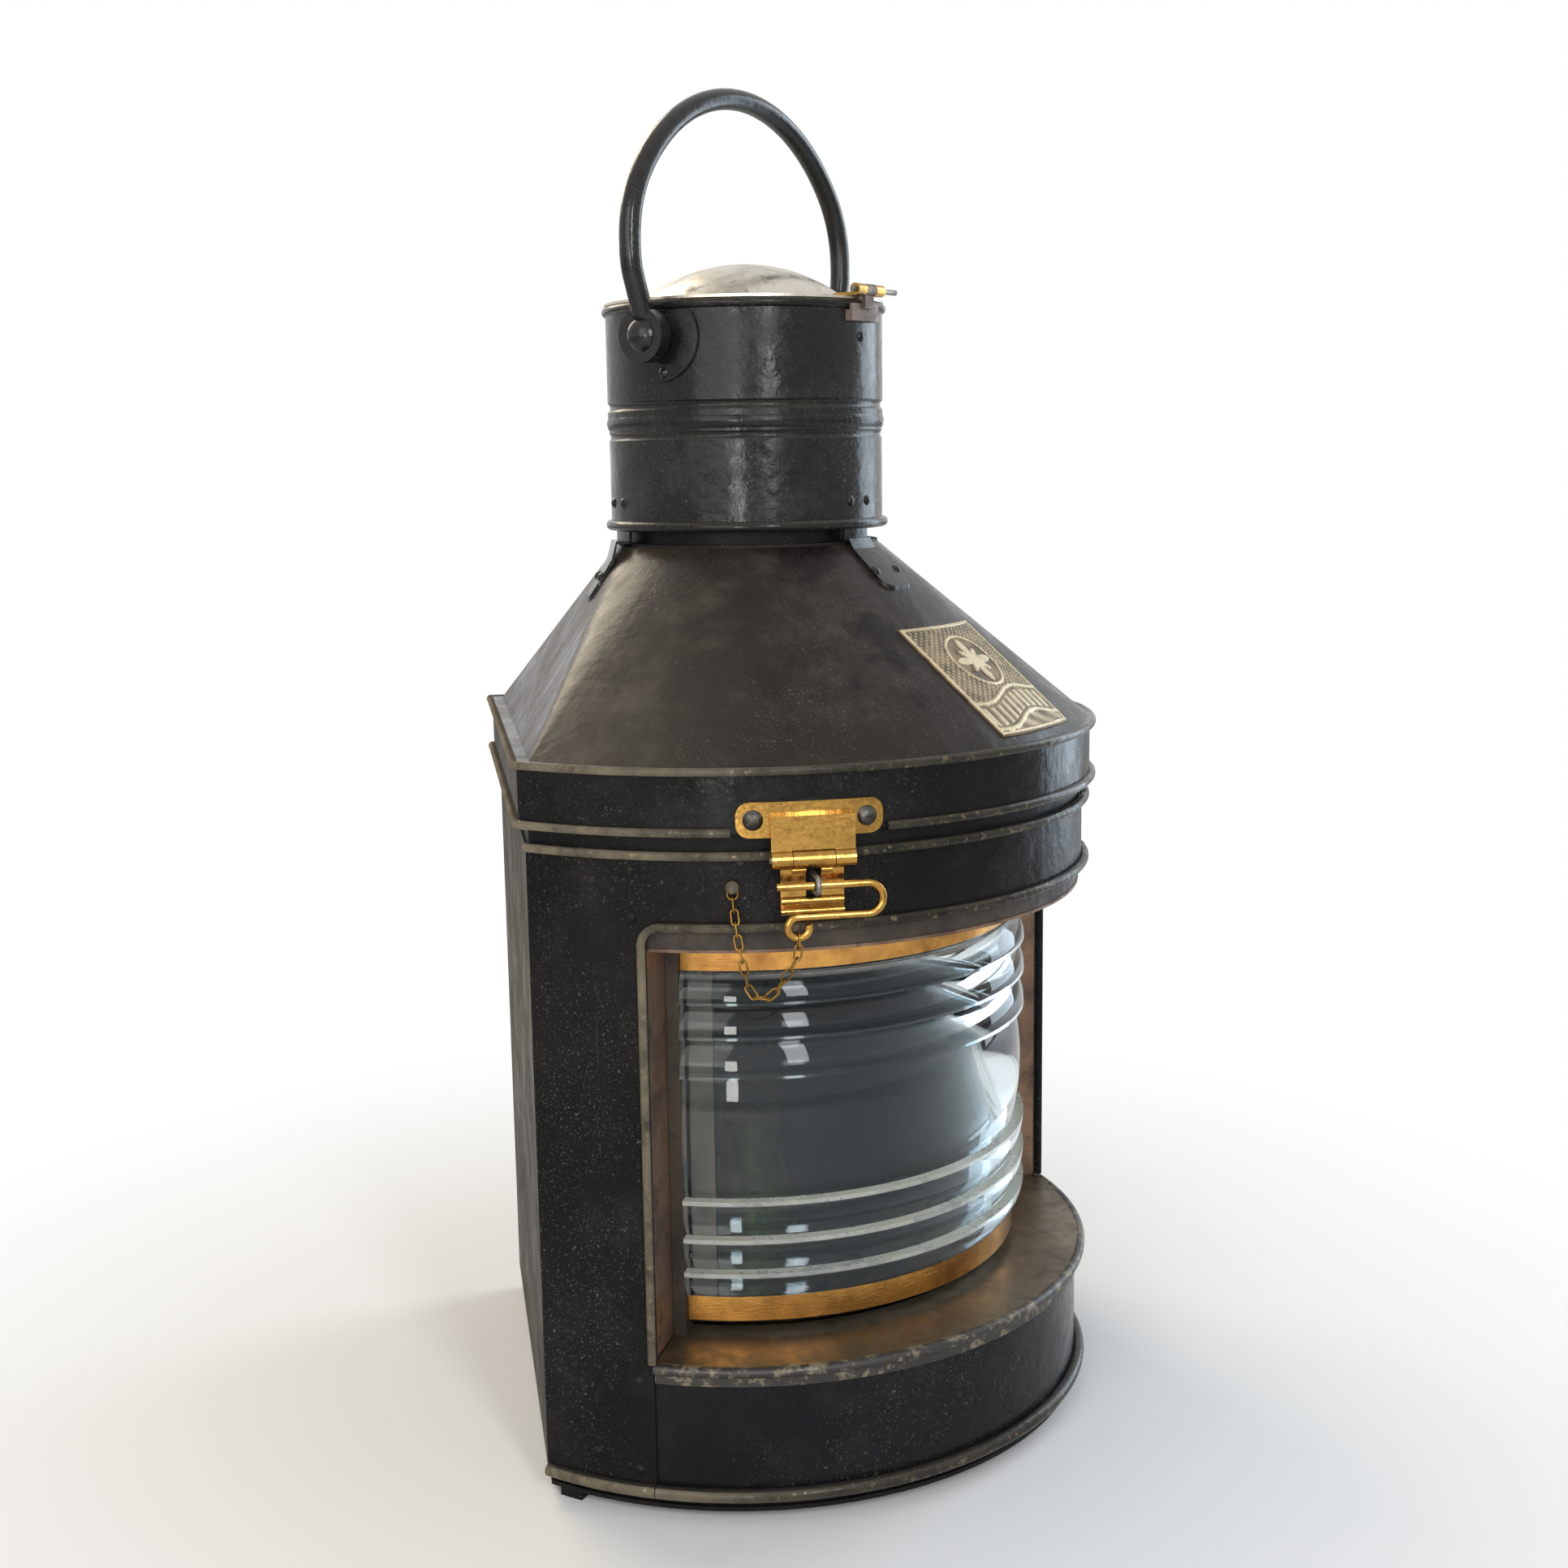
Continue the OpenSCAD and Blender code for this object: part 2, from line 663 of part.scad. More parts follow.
// Domed cap, turned about the axis of the chimney
cap_z = flue_top + 2;
cap_r = 58.5;
dome_ball = 70;
dome_top = cap_z + 17.2;
module chimney_cap() {
    mid = dome_top - dome_ball;
    color(tin) translate([flue_x, flue_y, 0]) difference() {
        union() {
            translate([0, 0, cap_z]) cylinder(r = cap_r, h = 1.1);
            intersection() {
                translate([0, 0, mid]) sphere(dome_ball);
                translate([0, 0, cap_z]) cylinder(r = 50, h = 30);
            }
        }
        intersection() {
            translate([0, 0, mid]) sphere(dome_ball - 1.1);
            translate([0, 0, cap_z - 1]) cylinder(r = 50, h = 30);
        }
    }
}

// The fittings of the chimney top stand on the diagonal: local -Y is the way of the badge
module on_diagonal() {
    translate([flue_x, flue_y, 0]) rotate([0, 0, 45]) children();
}

cap_axis_y = -61.6;
cap_axis_z = cap_z + 3.4;
cap_knuckle = 2.4;
cap_pin_r = 1.1;
cap_half = 10;
module at_cap_axis() {
    translate([0, cap_axis_y, cap_axis_z]) children();
}

module cap_hinge_lower_leaf() {
    k = knuckles(cap_half, 3);
    color(tin) on_diagonal() difference() {
        union() {
            intersection() {
                difference() {
                    translate([0, 0, flue_top - 6.8]) cylinder(r = flue_r + 3.6, h = 6.8);
                    translate([0, 0, flue_top - 10]) cylinder(r = flue_r + 2.4, h = 12);
                }
                block([-cap_half, -70, flue_top - 10], [cap_half, -40, flue_top + 2]);
            }
            intersection() {
                difference() {
                    translate([0, 0, flue_top - 6.8]) cylinder(r = flue_r + 3, h = 4.3);
                    translate([0, 0, flue_top - 10]) cylinder(r = flue_r + 0.4 + gap, h = 12);
                }
                block([-cap_half, -70, flue_top - 10], [cap_half, -40, flue_top + 2]);
            }
            at_cap_axis() x_rod(k[1][0], k[1][1], cap_knuckle);
            block([k[1][0], -62.4, flue_top - 2], [k[1][1], -60.4, cap_axis_z - 1.4]);
        }
        at_cap_axis() x_rod(-20, 20, cap_pin_r + 0.05);
    }
}

module cap_hinge_upper_leaf() {
    k = knuckles(cap_half, 3);
    color(brass) on_diagonal() difference() {
        union() {
            block([-cap_half, -57.5, cap_z + 1.1 + gap], [cap_half, -51.5, cap_z + 2.3]);
            for (i = [0, 2]) {
                at_cap_axis() x_rod(k[i][0], k[i][1], cap_knuckle);
                block([k[i][0], -60.6, cap_z + 1.1 + gap], [k[i][1], -57, cap_z + 2.3]);
            }
        }
        at_cap_axis() x_rod(-20, 20, cap_pin_r + 0.05);
    }
}

module cap_hinge_pin() {
    color(steel) on_diagonal() at_cap_axis() {
        x_rod(-cap_half - 1.5, cap_half + 11, cap_pin_r);
    }
}

// Round plates on the chimney, riveted behind the ears of the bail
module pivot_plates() {
    color(black) on_diagonal() for (side = [-1, 1]) intersection() {
        difference() {
            translate([0, 0, bail_z - 20]) cylinder(r = flue_r + 2, h = 40);
            translate([0, 0, bail_z - 21]) cylinder(r = flue_r + 0.4 + gap, h = 42);
        }
        translate([side > 0 ? 30 : -80, 0, bail_z - 0.3]) rotate([0, 90, 0]) cylinder(r = 17.9, h = 50);
        block([-90, -40, bail_z - 30], [90, 40, flue_top - 2.4]);
    }
}

ear_in = 64.4;
ear_out = 70.4;
stud_r = 4;
module pivot_studs() {
    color(black) on_diagonal() for (side = [-1, 1]) translate([0, 0, bail_z]) mirror([side > 0 ? 0 : 1, 0, 0]) {
        x_rod(flue_r + 2.05, ear_out + 1, stud_r);
        x_rod(flue_r + 2.05, ear_in - 0.3, 7);
        translate([ear_out + 0.3, 0, 0]) rotate([0, 90, 0]) rivet_head(6.6, 3.4);
        for (p = [[11.3, 4.8], [-2.6, -14.3]])
            translate([sqrt(pow(flue_r + 2, 2) - p[0] * p[0]) + 0.05, side * -p[0], p[1]])
                rotate([0, 90, side * asin(-p[0] / (flue_r + 2))]) rivet_head(2.2, 1.2);
    }
}

// Bail: two shoulder arcs and a crown arc that run into each other, on two cranked legs
module bail_handle() {
    legs_z = bail_z + 35.8;
    shoulder = 48;
    inset = bail_half - shoulder;
    drop = inset * 3 / 4;
    crown = shoulder + sqrt(inset * inset + drop * drop);
    tilt = atan(drop / inset);
    knee_z = bail_z + 32.2;
    knee_r = 30;
    lean = 20;
    lap = 0.7;
    bend_bar = bail_bar + 0.03;
    ear_mid = (ear_in + ear_out) / 2;
    foot_x = bail_half - knee_r * (1 - cos(lean));
    foot_z = knee_z - knee_r * sin(lean);
    foot_l = (foot_x - ear_mid) / sin(lean);
    color(black) on_diagonal() {
        translate([0, 0, legs_z - drop]) rotate([90, 0, 0])
            rotate_extrude(angle = 180 - 2 * tilt, start = tilt) translate([crown, 0]) circle(bail_bar);
        for (side = [-1, 1]) mirror([side > 0 ? 0 : 1, 0, 0]) {
            translate([inset, 0, legs_z]) rotate([90, 0, 0])
                rotate_extrude(angle = tilt + 0.8) translate([shoulder, 0]) circle(bend_bar);
            translate([bail_half, 0, knee_z - lap])
                cylinder(r = bail_bar, h = legs_z - knee_z + 2 * lap);
            translate([bail_half - knee_r, 0, knee_z]) rotate([90, 0, 0])
                rotate_extrude(angle = lean, start = -lean) translate([knee_r, 0]) circle(bend_bar);
            difference() {
                translate([foot_x, 0, foot_z]) rotate([0, 180 + lean, 0]) translate([0, 0, -lap])
                    cylinder(r = bail_bar, h = foot_l + lap);
                block([ear_in - 6, -6, bail_z], [ear_in + 0.2, 6, bail_z + 14]);
                translate([0, 0, bail_z]) x_rod(ear_out - 0.05, ear_out + 8, 7.2);
            }
            difference() {
                translate([0, 0, bail_z]) x_rod(ear_in, ear_out, 10.6);
                translate([0, 0, bail_z]) x_rod(ear_in - 1, ear_out + 1, stud_r + 0.08);
            }
        }
    }
}

// Strap of the hasp on the hood skirt, with two screw ears and two knuckles
hasp_half = 15.6;
ear_span = 21.2;
module hasp_plate() {
    z0 = hasp_z + 7.6;
    w0 = hood_r + gap;
    color(brass) difference() {
        union() {
            intersection() {
                sector(-110, -70) box2(w0, z0 - 4, w0 + 1.3, z0 + 14);
                translate([0, 0, z0 + 6.6]) rotate([90, 0, 0]) linear_extrude(200)
                    round_rect(2 * ear_span + 12.5, 13.2, 5);
            }
            block([-hasp_half, -hasp_w - 1.2, z0 - 4.05], [hasp_half, 4 - w0, z0 + 8.6]);
            for (side = [-1, 1]) {
                x0 = side < 0 ? -hasp_half : 8;
                translate([0, -hasp_w, hasp_z]) x_rod(x0, x0 + 7.6, 3.5);
                block([x0, -hasp_w - 1.2, hasp_z + 1.8], [x0 + 7.6, 0.8 - hasp_w, z0 - 4]);
            }
        }
        translate([0, 0, z0 - 20]) cylinder(r = w0, h = 60);
        translate([0, -hasp_w, hasp_z]) x_rod(-30, 30, 1.45);
    }
}

module hasp_leaf() {
    w_back = hasp_w - 3.4;
    w_front = w_back + 1.4;
    low = hasp_z - 21.3;
    slot_top = hasp_z - 3.4;
    slot_low = eye_z - eye_r - staple_r - 1.9;
    color(brass) difference() {
        union() {
            translate([0, -hasp_w, hasp_z]) x_rod(-7.7, 7.7, 3.5);
            block([-7.7, -w_front, hasp_z - 5], [7.7, -w_back, hasp_z]);
            block([-leaf_w / 2, -w_front, low + 1.3], [leaf_w / 2, -w_back, hasp_z - 4.1]);
            translate([0, -w_front + 0.2, low + 1.5]) x_rod(-leaf_w / 2, leaf_w / 2, 1.5);
            translate([0, -w_front + 0.3, low + 5.4]) x_rod(0.2 - leaf_w / 2, leaf_w / 2 - 0.2, 1.7);
            translate([0, -w_front + 0.1, hasp_z - 4.4]) x_rod(-7.5, 7.5, 1.35);
        }
        block([staple_x - 2.8, -w_front - 1.7, slot_low], [staple_x + 2.8, 1 - w_back, slot_top]);
        translate([0, -hasp_w, hasp_z]) x_rod(-30, 30, 1.45);
    }
}

module hasp_hinge_pin() {
    color(steel) translate([0, -hasp_w, hasp_z]) x_rod(-hasp_half - 0.4, hasp_half + 0.4, 1.4);
}

module hasp_screws() {
    z = hasp_z + 14.2;
    a = asin(ear_span / (hood_r + 1.3));
    color(steel) for (side = [-1, 1]) rotate([0, 0, -90 + side * a])
        translate([hood_r + 1.4, 0, z]) rotate([0, 90, 0]) difference() {
            rivet_head(3.8, 1.8);
            rotate([0, 0, 35]) block([-0.5, -5, 1], [0.5, 5, 3]);
        }
}

// Body whose side lies a little outside the round part of the cone, towards the badge
module slant_cone(proud) {
    hull() {
        translate([0, 0, ledge_z - 2]) cylinder(r = cone_r + 2 * cone_slope + proud, h = 0.01);
        translate([flue_x, flue_y, cone_top_z]) cylinder(r = cone_top_r + proud, h = 0.01);
    }
}

// Plain bordered plate, bent round the cone of the hood
module badge_plate() {
    mid_r = 121.9;
    color(brass) intersection() {
        difference() {
            slant_cone(1.2);
            slant_cone(0.3);
        }
        rotate([0, 0, -45]) translate([mid_r, 0, cone_z(mid_r)]) rotate([0, 90 - atan(cone_slope), 0])
            translate([0, 0, -20]) linear_extrude(40) round_rect(61, 54, 3);
    }
}

module font_ring() {
    color(copper) difference() {
        translate([0, 0, sheet + gap]) cylinder(r = font_r + 2, h = 14);
        cylinder(r = font_r + 0.5, h = 30);
    }
}

font_low = sheet + gap;
collar_z = font_h + 12;
collar_in = 13;
wick_low = 22;
font_wall = 1.5;
module oil_font() {
    color(brass) difference() {
        union() {
            translate([0, 0, font_low]) cylinder(r = font_r, h = font_h - font_low);
            translate([0, 0, font_h]) cylinder(r1 = font_r, r2 = 20, h = 9);
            translate([0, 0, font_h]) cylinder(r = 16, h = 12);
            translate([0, 0, font_low]) cylinder(r = font_r + 0.3, h = 3);
        }
        translate([0, 0, font_low + font_wall]) cylinder(r = font_r - font_wall, h = font_h - font_low - font_wall);
        translate([0, 0, font_h - 0.01]) cylinder(r1 = font_r - font_wall, r2 = 14, h = 8);
        translate([0, 0, font_h]) cylinder(r = collar_in, h = 20);
    }
}

module filler_cap() {
    color(brass) difference() {
        rotate([0, 0, -60]) translate([34, 0, font_h + 0.2]) difference() {
            cylinder(r = 8, h = 10);
            translate([0, 0, 9]) cylinder(r = 5, h = 2);
        }
        translate([0, 0, font_h + gap]) cylinder(r1 = font_r, r2 = 20, h = 9);
    }
}

// Flat wick burner. Local X runs along the width of the wick and along the spindle.
module at_burner() {
    rotate([0, 0, 135]) children();
}

burner_z = collar_z + gap;
spindle_y = 5.6;
spindle_z = burner_z + 9;
module burner() {
    color(brass) at_burner() difference() {
        union() {
            translate([0, 0, burner_z]) cylinder(r = 14.5, h = 17);
            translate([0, 0, burner_z - 10]) cylinder(r = collar_in - gap, h = 12);
            translate([0, 0, burner_z + 15]) cylinder(r = 22, h = 2.4);
            intersection() {
                translate([0, 0, burner_z + 17]) sphere(20);
                translate([0, 0, burner_z + 17]) cylinder(r = 30, h = 30);
            }
            translate([0, 0, burner_z + 30]) cylinder(r = 13.5, h = 12);
        }
        block([-10.4, -1.9, burner_z - 11], [10.4, 1.9, 200]);
        block([-8, 0, spindle_z - 4.6], [8, spindle_y + 4.6, spindle_z + 4.6]);
        translate([0, spindle_y, spindle_z]) x_rod(-30, 60, 1.56);
        for (i = [0:11]) rotate([0, 0, i * 30 + 15]) translate([18.8, 0, burner_z]) cylinder(r = 1.4, h = 30);
    }
}

module wick() {
    color([0.85, 0.80, 0.68]) at_burner() block([-10, -1.5, wick_low], [10, 1.5, burner_z + 45]);
}

module wick_spindle() {
    color(steel) at_burner() translate([0, spindle_y, spindle_z]) {
        x_rod(-12.5, 34, 1.5);
        for (x = [-6, 3.6]) translate([x, 0, 0]) rotate([0, 90, 0]) difference() {
            cylinder(r = 3.8, h = 2.4);
            for (i = [0:7]) rotate([0, 0, i * 45]) translate([3.9, 0, -1]) cylinder(r = 0.6, h = 5);
        }
    }
}

module wick_knob() {
    color(brass) at_burner() translate([34 + gap, spindle_y, spindle_z]) rotate([0, 90, 0]) difference() {
        cylinder(r = 9, h = 4);
        for (i = [0:15]) rotate([0, 0, i * 22.5]) translate([9.2, 0, -1]) cylinder(r = 0.8, h = 6);
    }
}

casing();
front_apron();
base_pan();
corner_feet();
hood_collar();
window_tray();
window_ceiling();
jamb_left();
jamb_right();
lens_glass();
lens_ring_lower();
lens_ring_upper();
lens_posts();
signal_glass();
signal_glass_guides();
casing_rivets();
staple_plate();
staple();
clip_pin();
chain_end_link();
chain_stud();
safety_chain();
hood_hinge_lower_leaf();
hood_hinge_upper_leaf();
hood_hinge_pin();
hood_skirt();
hood_cone();
hood_neck();
chimney_brackets();
chimney();
hood_rivets();
chimney_cap();
cap_hinge_lower_leaf();
cap_hinge_upper_leaf();
cap_hinge_pin();
pivot_plates();
pivot_studs();
bail_handle();
hasp_plate();
hasp_leaf();
hasp_hinge_pin();
hasp_screws();
badge_plate();
font_ring();
oil_font();
filler_cap();
burner();
wick();
wick_spindle();
wick_knob();
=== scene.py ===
import math

import bmesh
import bpy
from mathutils import Matrix, Vector


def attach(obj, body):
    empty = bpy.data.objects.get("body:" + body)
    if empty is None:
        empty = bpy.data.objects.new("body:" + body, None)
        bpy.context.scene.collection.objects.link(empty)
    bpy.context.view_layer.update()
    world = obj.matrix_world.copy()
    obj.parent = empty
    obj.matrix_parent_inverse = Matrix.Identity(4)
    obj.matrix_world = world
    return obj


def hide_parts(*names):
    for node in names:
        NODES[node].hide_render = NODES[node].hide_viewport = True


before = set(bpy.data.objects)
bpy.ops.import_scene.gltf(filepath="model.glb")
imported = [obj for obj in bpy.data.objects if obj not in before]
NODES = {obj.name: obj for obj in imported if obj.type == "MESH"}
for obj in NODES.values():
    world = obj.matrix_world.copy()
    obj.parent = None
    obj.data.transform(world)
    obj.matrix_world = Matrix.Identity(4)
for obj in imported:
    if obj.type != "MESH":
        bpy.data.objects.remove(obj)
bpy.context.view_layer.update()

bl_info = {
    "name": "Ship's side lamp",
    "version": (1, 0, 0),
    "blender": (4, 5, 0),
    "location": "View3D > Sidebar > Side lamp",
    "description": "Dresses the quarter-round side lamp: paint, copper, brass, glass and badge",
    "category": "Object",
}

MM = 0.001

# Heights and radii of the lamp, in millimetres, as the frame has them
FRONT_R = 146.5
FLAT_D = 101.0
SHEET = 1.2
HOOD_R = 149.6
HOOD_D = 103.4
CONE_LOW = 296.0
CONE_HIGH = 370.5
CONE_R = 148.4
CONE_TOP_R = 55.5
FLUE_SHIFT = 3.3
TRAY_Z = 64.0
LENS_Z = 145.2
BADGE_R = 121.9
CEILING_Z = 226.0
LOWER_LEAF_Y = 102.6
UPPER_LEAF_Y = 104.75
HINGE_RIVETS = (-28.0, -10.0, 10.0, 28.0)
FLANGE_R = 144.4
WINDOW_FROM = -114.2
WINDOW_TO = 11.2


# Finishes

class Finish:
    """A procedural finish on Object coordinates, built node by node."""

    def __init__(self, name, **sockets):
        self.material = bpy.data.materials.new(name)
        self.material.use_nodes = True
        self.tree = self.material.node_tree
        self.shader = self.tree.nodes["Principled BSDF"]
        self.output = self.tree.nodes["Material Output"]
        self.coords = self.tree.nodes.new("ShaderNodeTexCoord").outputs["Object"]
        for key, value in sockets.items():
            self.shader.inputs[key.replace("_", " ")].default_value = value

    def add(self, kind, inputs=(), **settings):
        node = self.tree.nodes.new(kind)
        for key, value in settings.items():
            setattr(node, key, value)
        for key, value in dict(inputs).items():
            self.put(node.inputs[key], value)
        return node

    def put(self, socket, value):
        if isinstance(value, bpy.types.NodeSocket):
            self.tree.links.new(value, socket)
        else:
            socket.default_value = value

    def set(self, key, value):
        self.put(self.shader.inputs[key], value)

    def noise(self, scale, detail=4.0, rough=0.6, stretch=None, vector=None):
        place = vector or self.coords
        if stretch:
            place = self.add("ShaderNodeMapping", {"Vector": place, "Scale": stretch}).outputs["Vector"]
        node = self.add("ShaderNodeTexNoise", {"Vector": place, "Scale": scale, "Detail": detail,
                                               "Roughness": rough})
        return node.outputs["Fac"]

    def cells(self, scale, feature="F1", output="Distance"):
        node = self.add("ShaderNodeTexVoronoi", {"Vector": self.coords, "Scale": scale}, feature=feature)
        return node.outputs[output]

    def step(self, value, low, high, to_low=0.0, to_high=1.0):
        node = self.add("ShaderNodeMapRange", {"Value": value, "From Min": low, "From Max": high,
                                               "To Min": to_low, "To Max": to_high},
                        interpolation_type="SMOOTHSTEP")
        return node.outputs["Result"]

    def band(self, value, low, high, soft):
        rise = self.step(value, low - soft, low)
        fall = self.step(value, high, high + soft, 1.0, 0.0)
        return self.math("MULTIPLY", rise, fall)

    def math(self, operation, a, b=0.0, clamp=False):
        node = self.add("ShaderNodeMath", operation=operation, use_clamp=clamp)
        self.put(node.inputs[0], a)
        self.put(node.inputs[1], b)
        return node.outputs["Value"]

    def mix(self, factor, a, b):
        node = self.add("ShaderNodeMix", data_type="RGBA")
        self.put(node.inputs["Factor"], factor)
        for socket, value in ((node.inputs[6], a), (node.inputs[7], b)):
            self.put(socket, value if isinstance(value, bpy.types.NodeSocket) else (*value, 1.0))
        return node.outputs[2]

    def places(self):
        """The X, Y, Z and the radius of a point, as sockets in metres."""
        parts = self.add("ShaderNodeSeparateXYZ", {"Vector": self.coords}).outputs
        flat = self.add("ShaderNodeVectorMath", {0: self.coords, 1: (1.0, 1.0, 0.0)}, operation="MULTIPLY")
        length = self.add("ShaderNodeVectorMath", {0: flat.outputs["Vector"]}, operation="LENGTH")
        return parts["X"], parts["Y"], parts["Z"], length.outputs["Value"]

    def bump(self, layers):
        """Stacks bumps: each layer is a height socket, its distance in metres and its strength."""
        normal = None
        for height, distance, strength in layers:
            inputs = {"Height": height, "Distance": distance, "Strength": strength}
            if normal:
                inputs["Normal"] = normal
            normal = self.add("ShaderNodeBump", inputs).outputs["Normal"]
        self.set("Normal", normal)


def dress(node, material):
    slots = NODES[node].data.materials
    slots.clear()
    slots.append(material)


def any_of(finish, masks):
    """The highest of several masks."""
    total = masks[0]
    for mask in masks[1:]:
        total = finish.math("MAXIMUM", total, mask)
    return total


def japan_black(name, tint, haze=0.3, specks=0.5, gloss=0.30, edges=(), inside=None, dents=0.5, shine=0.15,
                dusty=0.0, left_highlight_span=(-200.0, -199.0), flats=(), right_shade=0.0):
    """Old black paint: brown haze, pale specks, scratches, rubbed edges and bare metal on the inner side, the last
    made near-black as painted shade inside the casing. Where it is dusty, a khaki film of dust lies on whatever faces
    up, made thicker towards the left, between the two given places, as a painted highlight. The flats, an axis, a
    side and a place each, are duller and mottled khaki. Patchy painted shade darkens the right half, and the rubbed
    edges are painted lighter towards the left as light from that side."""
    f = Finish(name, Specular_IOR_Level=shine)
    x, y, z, r = f.places()
    patches = f.noise(9.0, 6.0, 0.62)
    cloud = f.noise(34.0, 6.0, 0.72)
    black = f.mix(f.step(patches, 0.40, 0.66), tint, (tint[0] * 1.7, tint[1] * 1.45, tint[2] * 1.35))
    dust = f.math("MULTIPLY", f.step(cloud, 0.46, 0.80), haze)
    colour = f.mix(dust, black, (0.085, 0.076, 0.060))
    where = f.step(f.noise(14.0, 5.0, 0.65), 0.38, 0.64)
    fine = f.step(f.noise(1150.0, 2.0, 0.5), 0.60, 0.69)
    coarse = f.step(f.noise(520.0, 2.0, 0.5), 0.70, 0.74)
    speck = f.math("MULTIPLY", f.math("MAXIMUM", f.math("MULTIPLY", fine, 0.42), f.math("MULTIPLY", coarse, 0.7)),
                   f.math("MULTIPLY", where, specks))
    colour = f.mix(speck, colour, (0.20, 0.19, 0.155))
    streak = f.step(f.noise(1.0, 3.0, 0.55, stretch=(420.0, 420.0, 14.0)), 0.66, 0.74)
    streak = f.math("MULTIPLY", streak, f.math("MULTIPLY", where, 0.15 * specks))
    colour = f.mix(streak, colour, (0.12, 0.115, 0.10))
    if dusty:
        facing = f.add("ShaderNodeSeparateXYZ", {"Vector": f.add("ShaderNodeNewGeometry").outputs["Normal"]})
        # Khaki dust on whatever faces up; across the given span it is made thicker towards the left, a painted
        # highlight of the light from that side.
        dust_with_left_highlight = f.step(f.math("ADD", facing.outputs["Z"], f.math("MULTIPLY", cloud, 0.45)), 0.50, 1.05)
        dust_with_left_highlight = f.math("MULTIPLY", dust_with_left_highlight, f.step(x, left_highlight_span[0] * MM, left_highlight_span[1] * MM, 1.0, 0.22))
        colour = f.mix(f.math("MULTIPLY", dust_with_left_highlight, dusty), colour, (0.19, 0.162, 0.118))
    if right_shade:
        # Patchy painted shade, dark purple-brown, laid only on the right half (x above about zero).
        right_shade_patches = f.math("MULTIPLY", f.step(f.noise(13.0, 4.0, 0.6), 0.53, 0.60), f.step(x, -0.04, 0.03))
        colour = f.mix(f.math("MULTIPLY", right_shade_patches, right_shade), colour, (0.0050, 0.0032, 0.0036))
    metal = 0.0
    rough = f.step(cloud, 0.3, 0.75, gloss - 0.08, gloss + 0.20)
    if flats:
        sockets = {"x": x, "y": y}
        films = [f.step(f.math("MULTIPLY", sockets[axis], side), place * MM, (place + 0.5) * MM)
                 for axis, side, place in flats]
        film = any_of(f, films)
        mottle = f.step(f.noise(26.0, 6.0, 0.75), 0.30, 0.72, 0.35, 0.95)
        colour = f.mix(f.math("MULTIPLY", film, mottle), colour, (0.078, 0.063, 0.041))
        rough = f.math("ADD", rough, f.math("MULTIPLY", film, 0.65), clamp=True)
    if edges:
        sockets = {"x": x, "y": y, "z": z, "r": r}
        masks = []
        for edge in edges:
            parts = [f.band(sockets[axis], low * MM, high * MM, soft * MM) for axis, low, high, soft in edge]
            mask = parts[0]
            for part in parts[1:]:
                mask = f.math("MULTIPLY", mask, part)
            masks.append(mask)
        rubbed = f.step(f.noise(46.0, 6.0, 0.70), 0.26, 0.66, 0.15, 1.0)
        chips = f.step(f.noise(310.0, 4.0, 0.7), 0.56, 0.66)
        edge_mask = any_of(f, masks)
        # The rubbed edges are real, but their khaki is made strong at the left and faint at the right, a painted
        # light falling from the left.
        left_lit_edges = f.step(x, -0.095, 0.030, 0.85, 0.14)
        wear_and_left_light = f.math("MULTIPLY", f.math("MULTIPLY", edge_mask, rubbed), left_lit_edges)
        colour = f.mix(wear_and_left_light, colour, (0.205, 0.176, 0.120))
        chip = f.math("MULTIPLY", edge_mask, chips)
        colour = f.mix(f.math("MULTIPLY", chip, 0.55), colour, (0.24, 0.19, 0.125))
        metal = f.math("MULTIPLY", chip, 0.4)
    if inside:
        sockets = {"x": x, "y": y, "r": r}
        tests = [f.step(sockets[axis], low * MM, high * MM) for axis, low, high in inside]
        bare = tests[0]
        for test in tests[1:]:
            bare = f.math("MULTIPLY", bare, test)
        # The inner side's metal is made near-black, which paints the shade inside the casing.
        tin = f.mix(f.step(cloud, 0.35, 0.7), (0.035, 0.036, 0.038), (0.012, 0.012, 0.013))
        colour = f.mix(bare, colour, tin)
        sheen = f.math("MULTIPLY", bare, 0.25)
        metal = f.math("MAXIMUM", metal, sheen) if edges else sheen
    f.set("Base Color", colour)
    f.set("Metallic", metal)
    f.set("Roughness", rough)
    f.bump([
        (f.noise(22.0, 3.0, 0.5), 0.0016, dents),
        (f.noise(95.0, 3.0, 0.55), 0.0009, dents * 0.9),
        (f.noise(300.0, 3.0, 0.6), 0.00022, 0.45),
        (speck, 0.00025, 0.6),
    ])
    return f.material


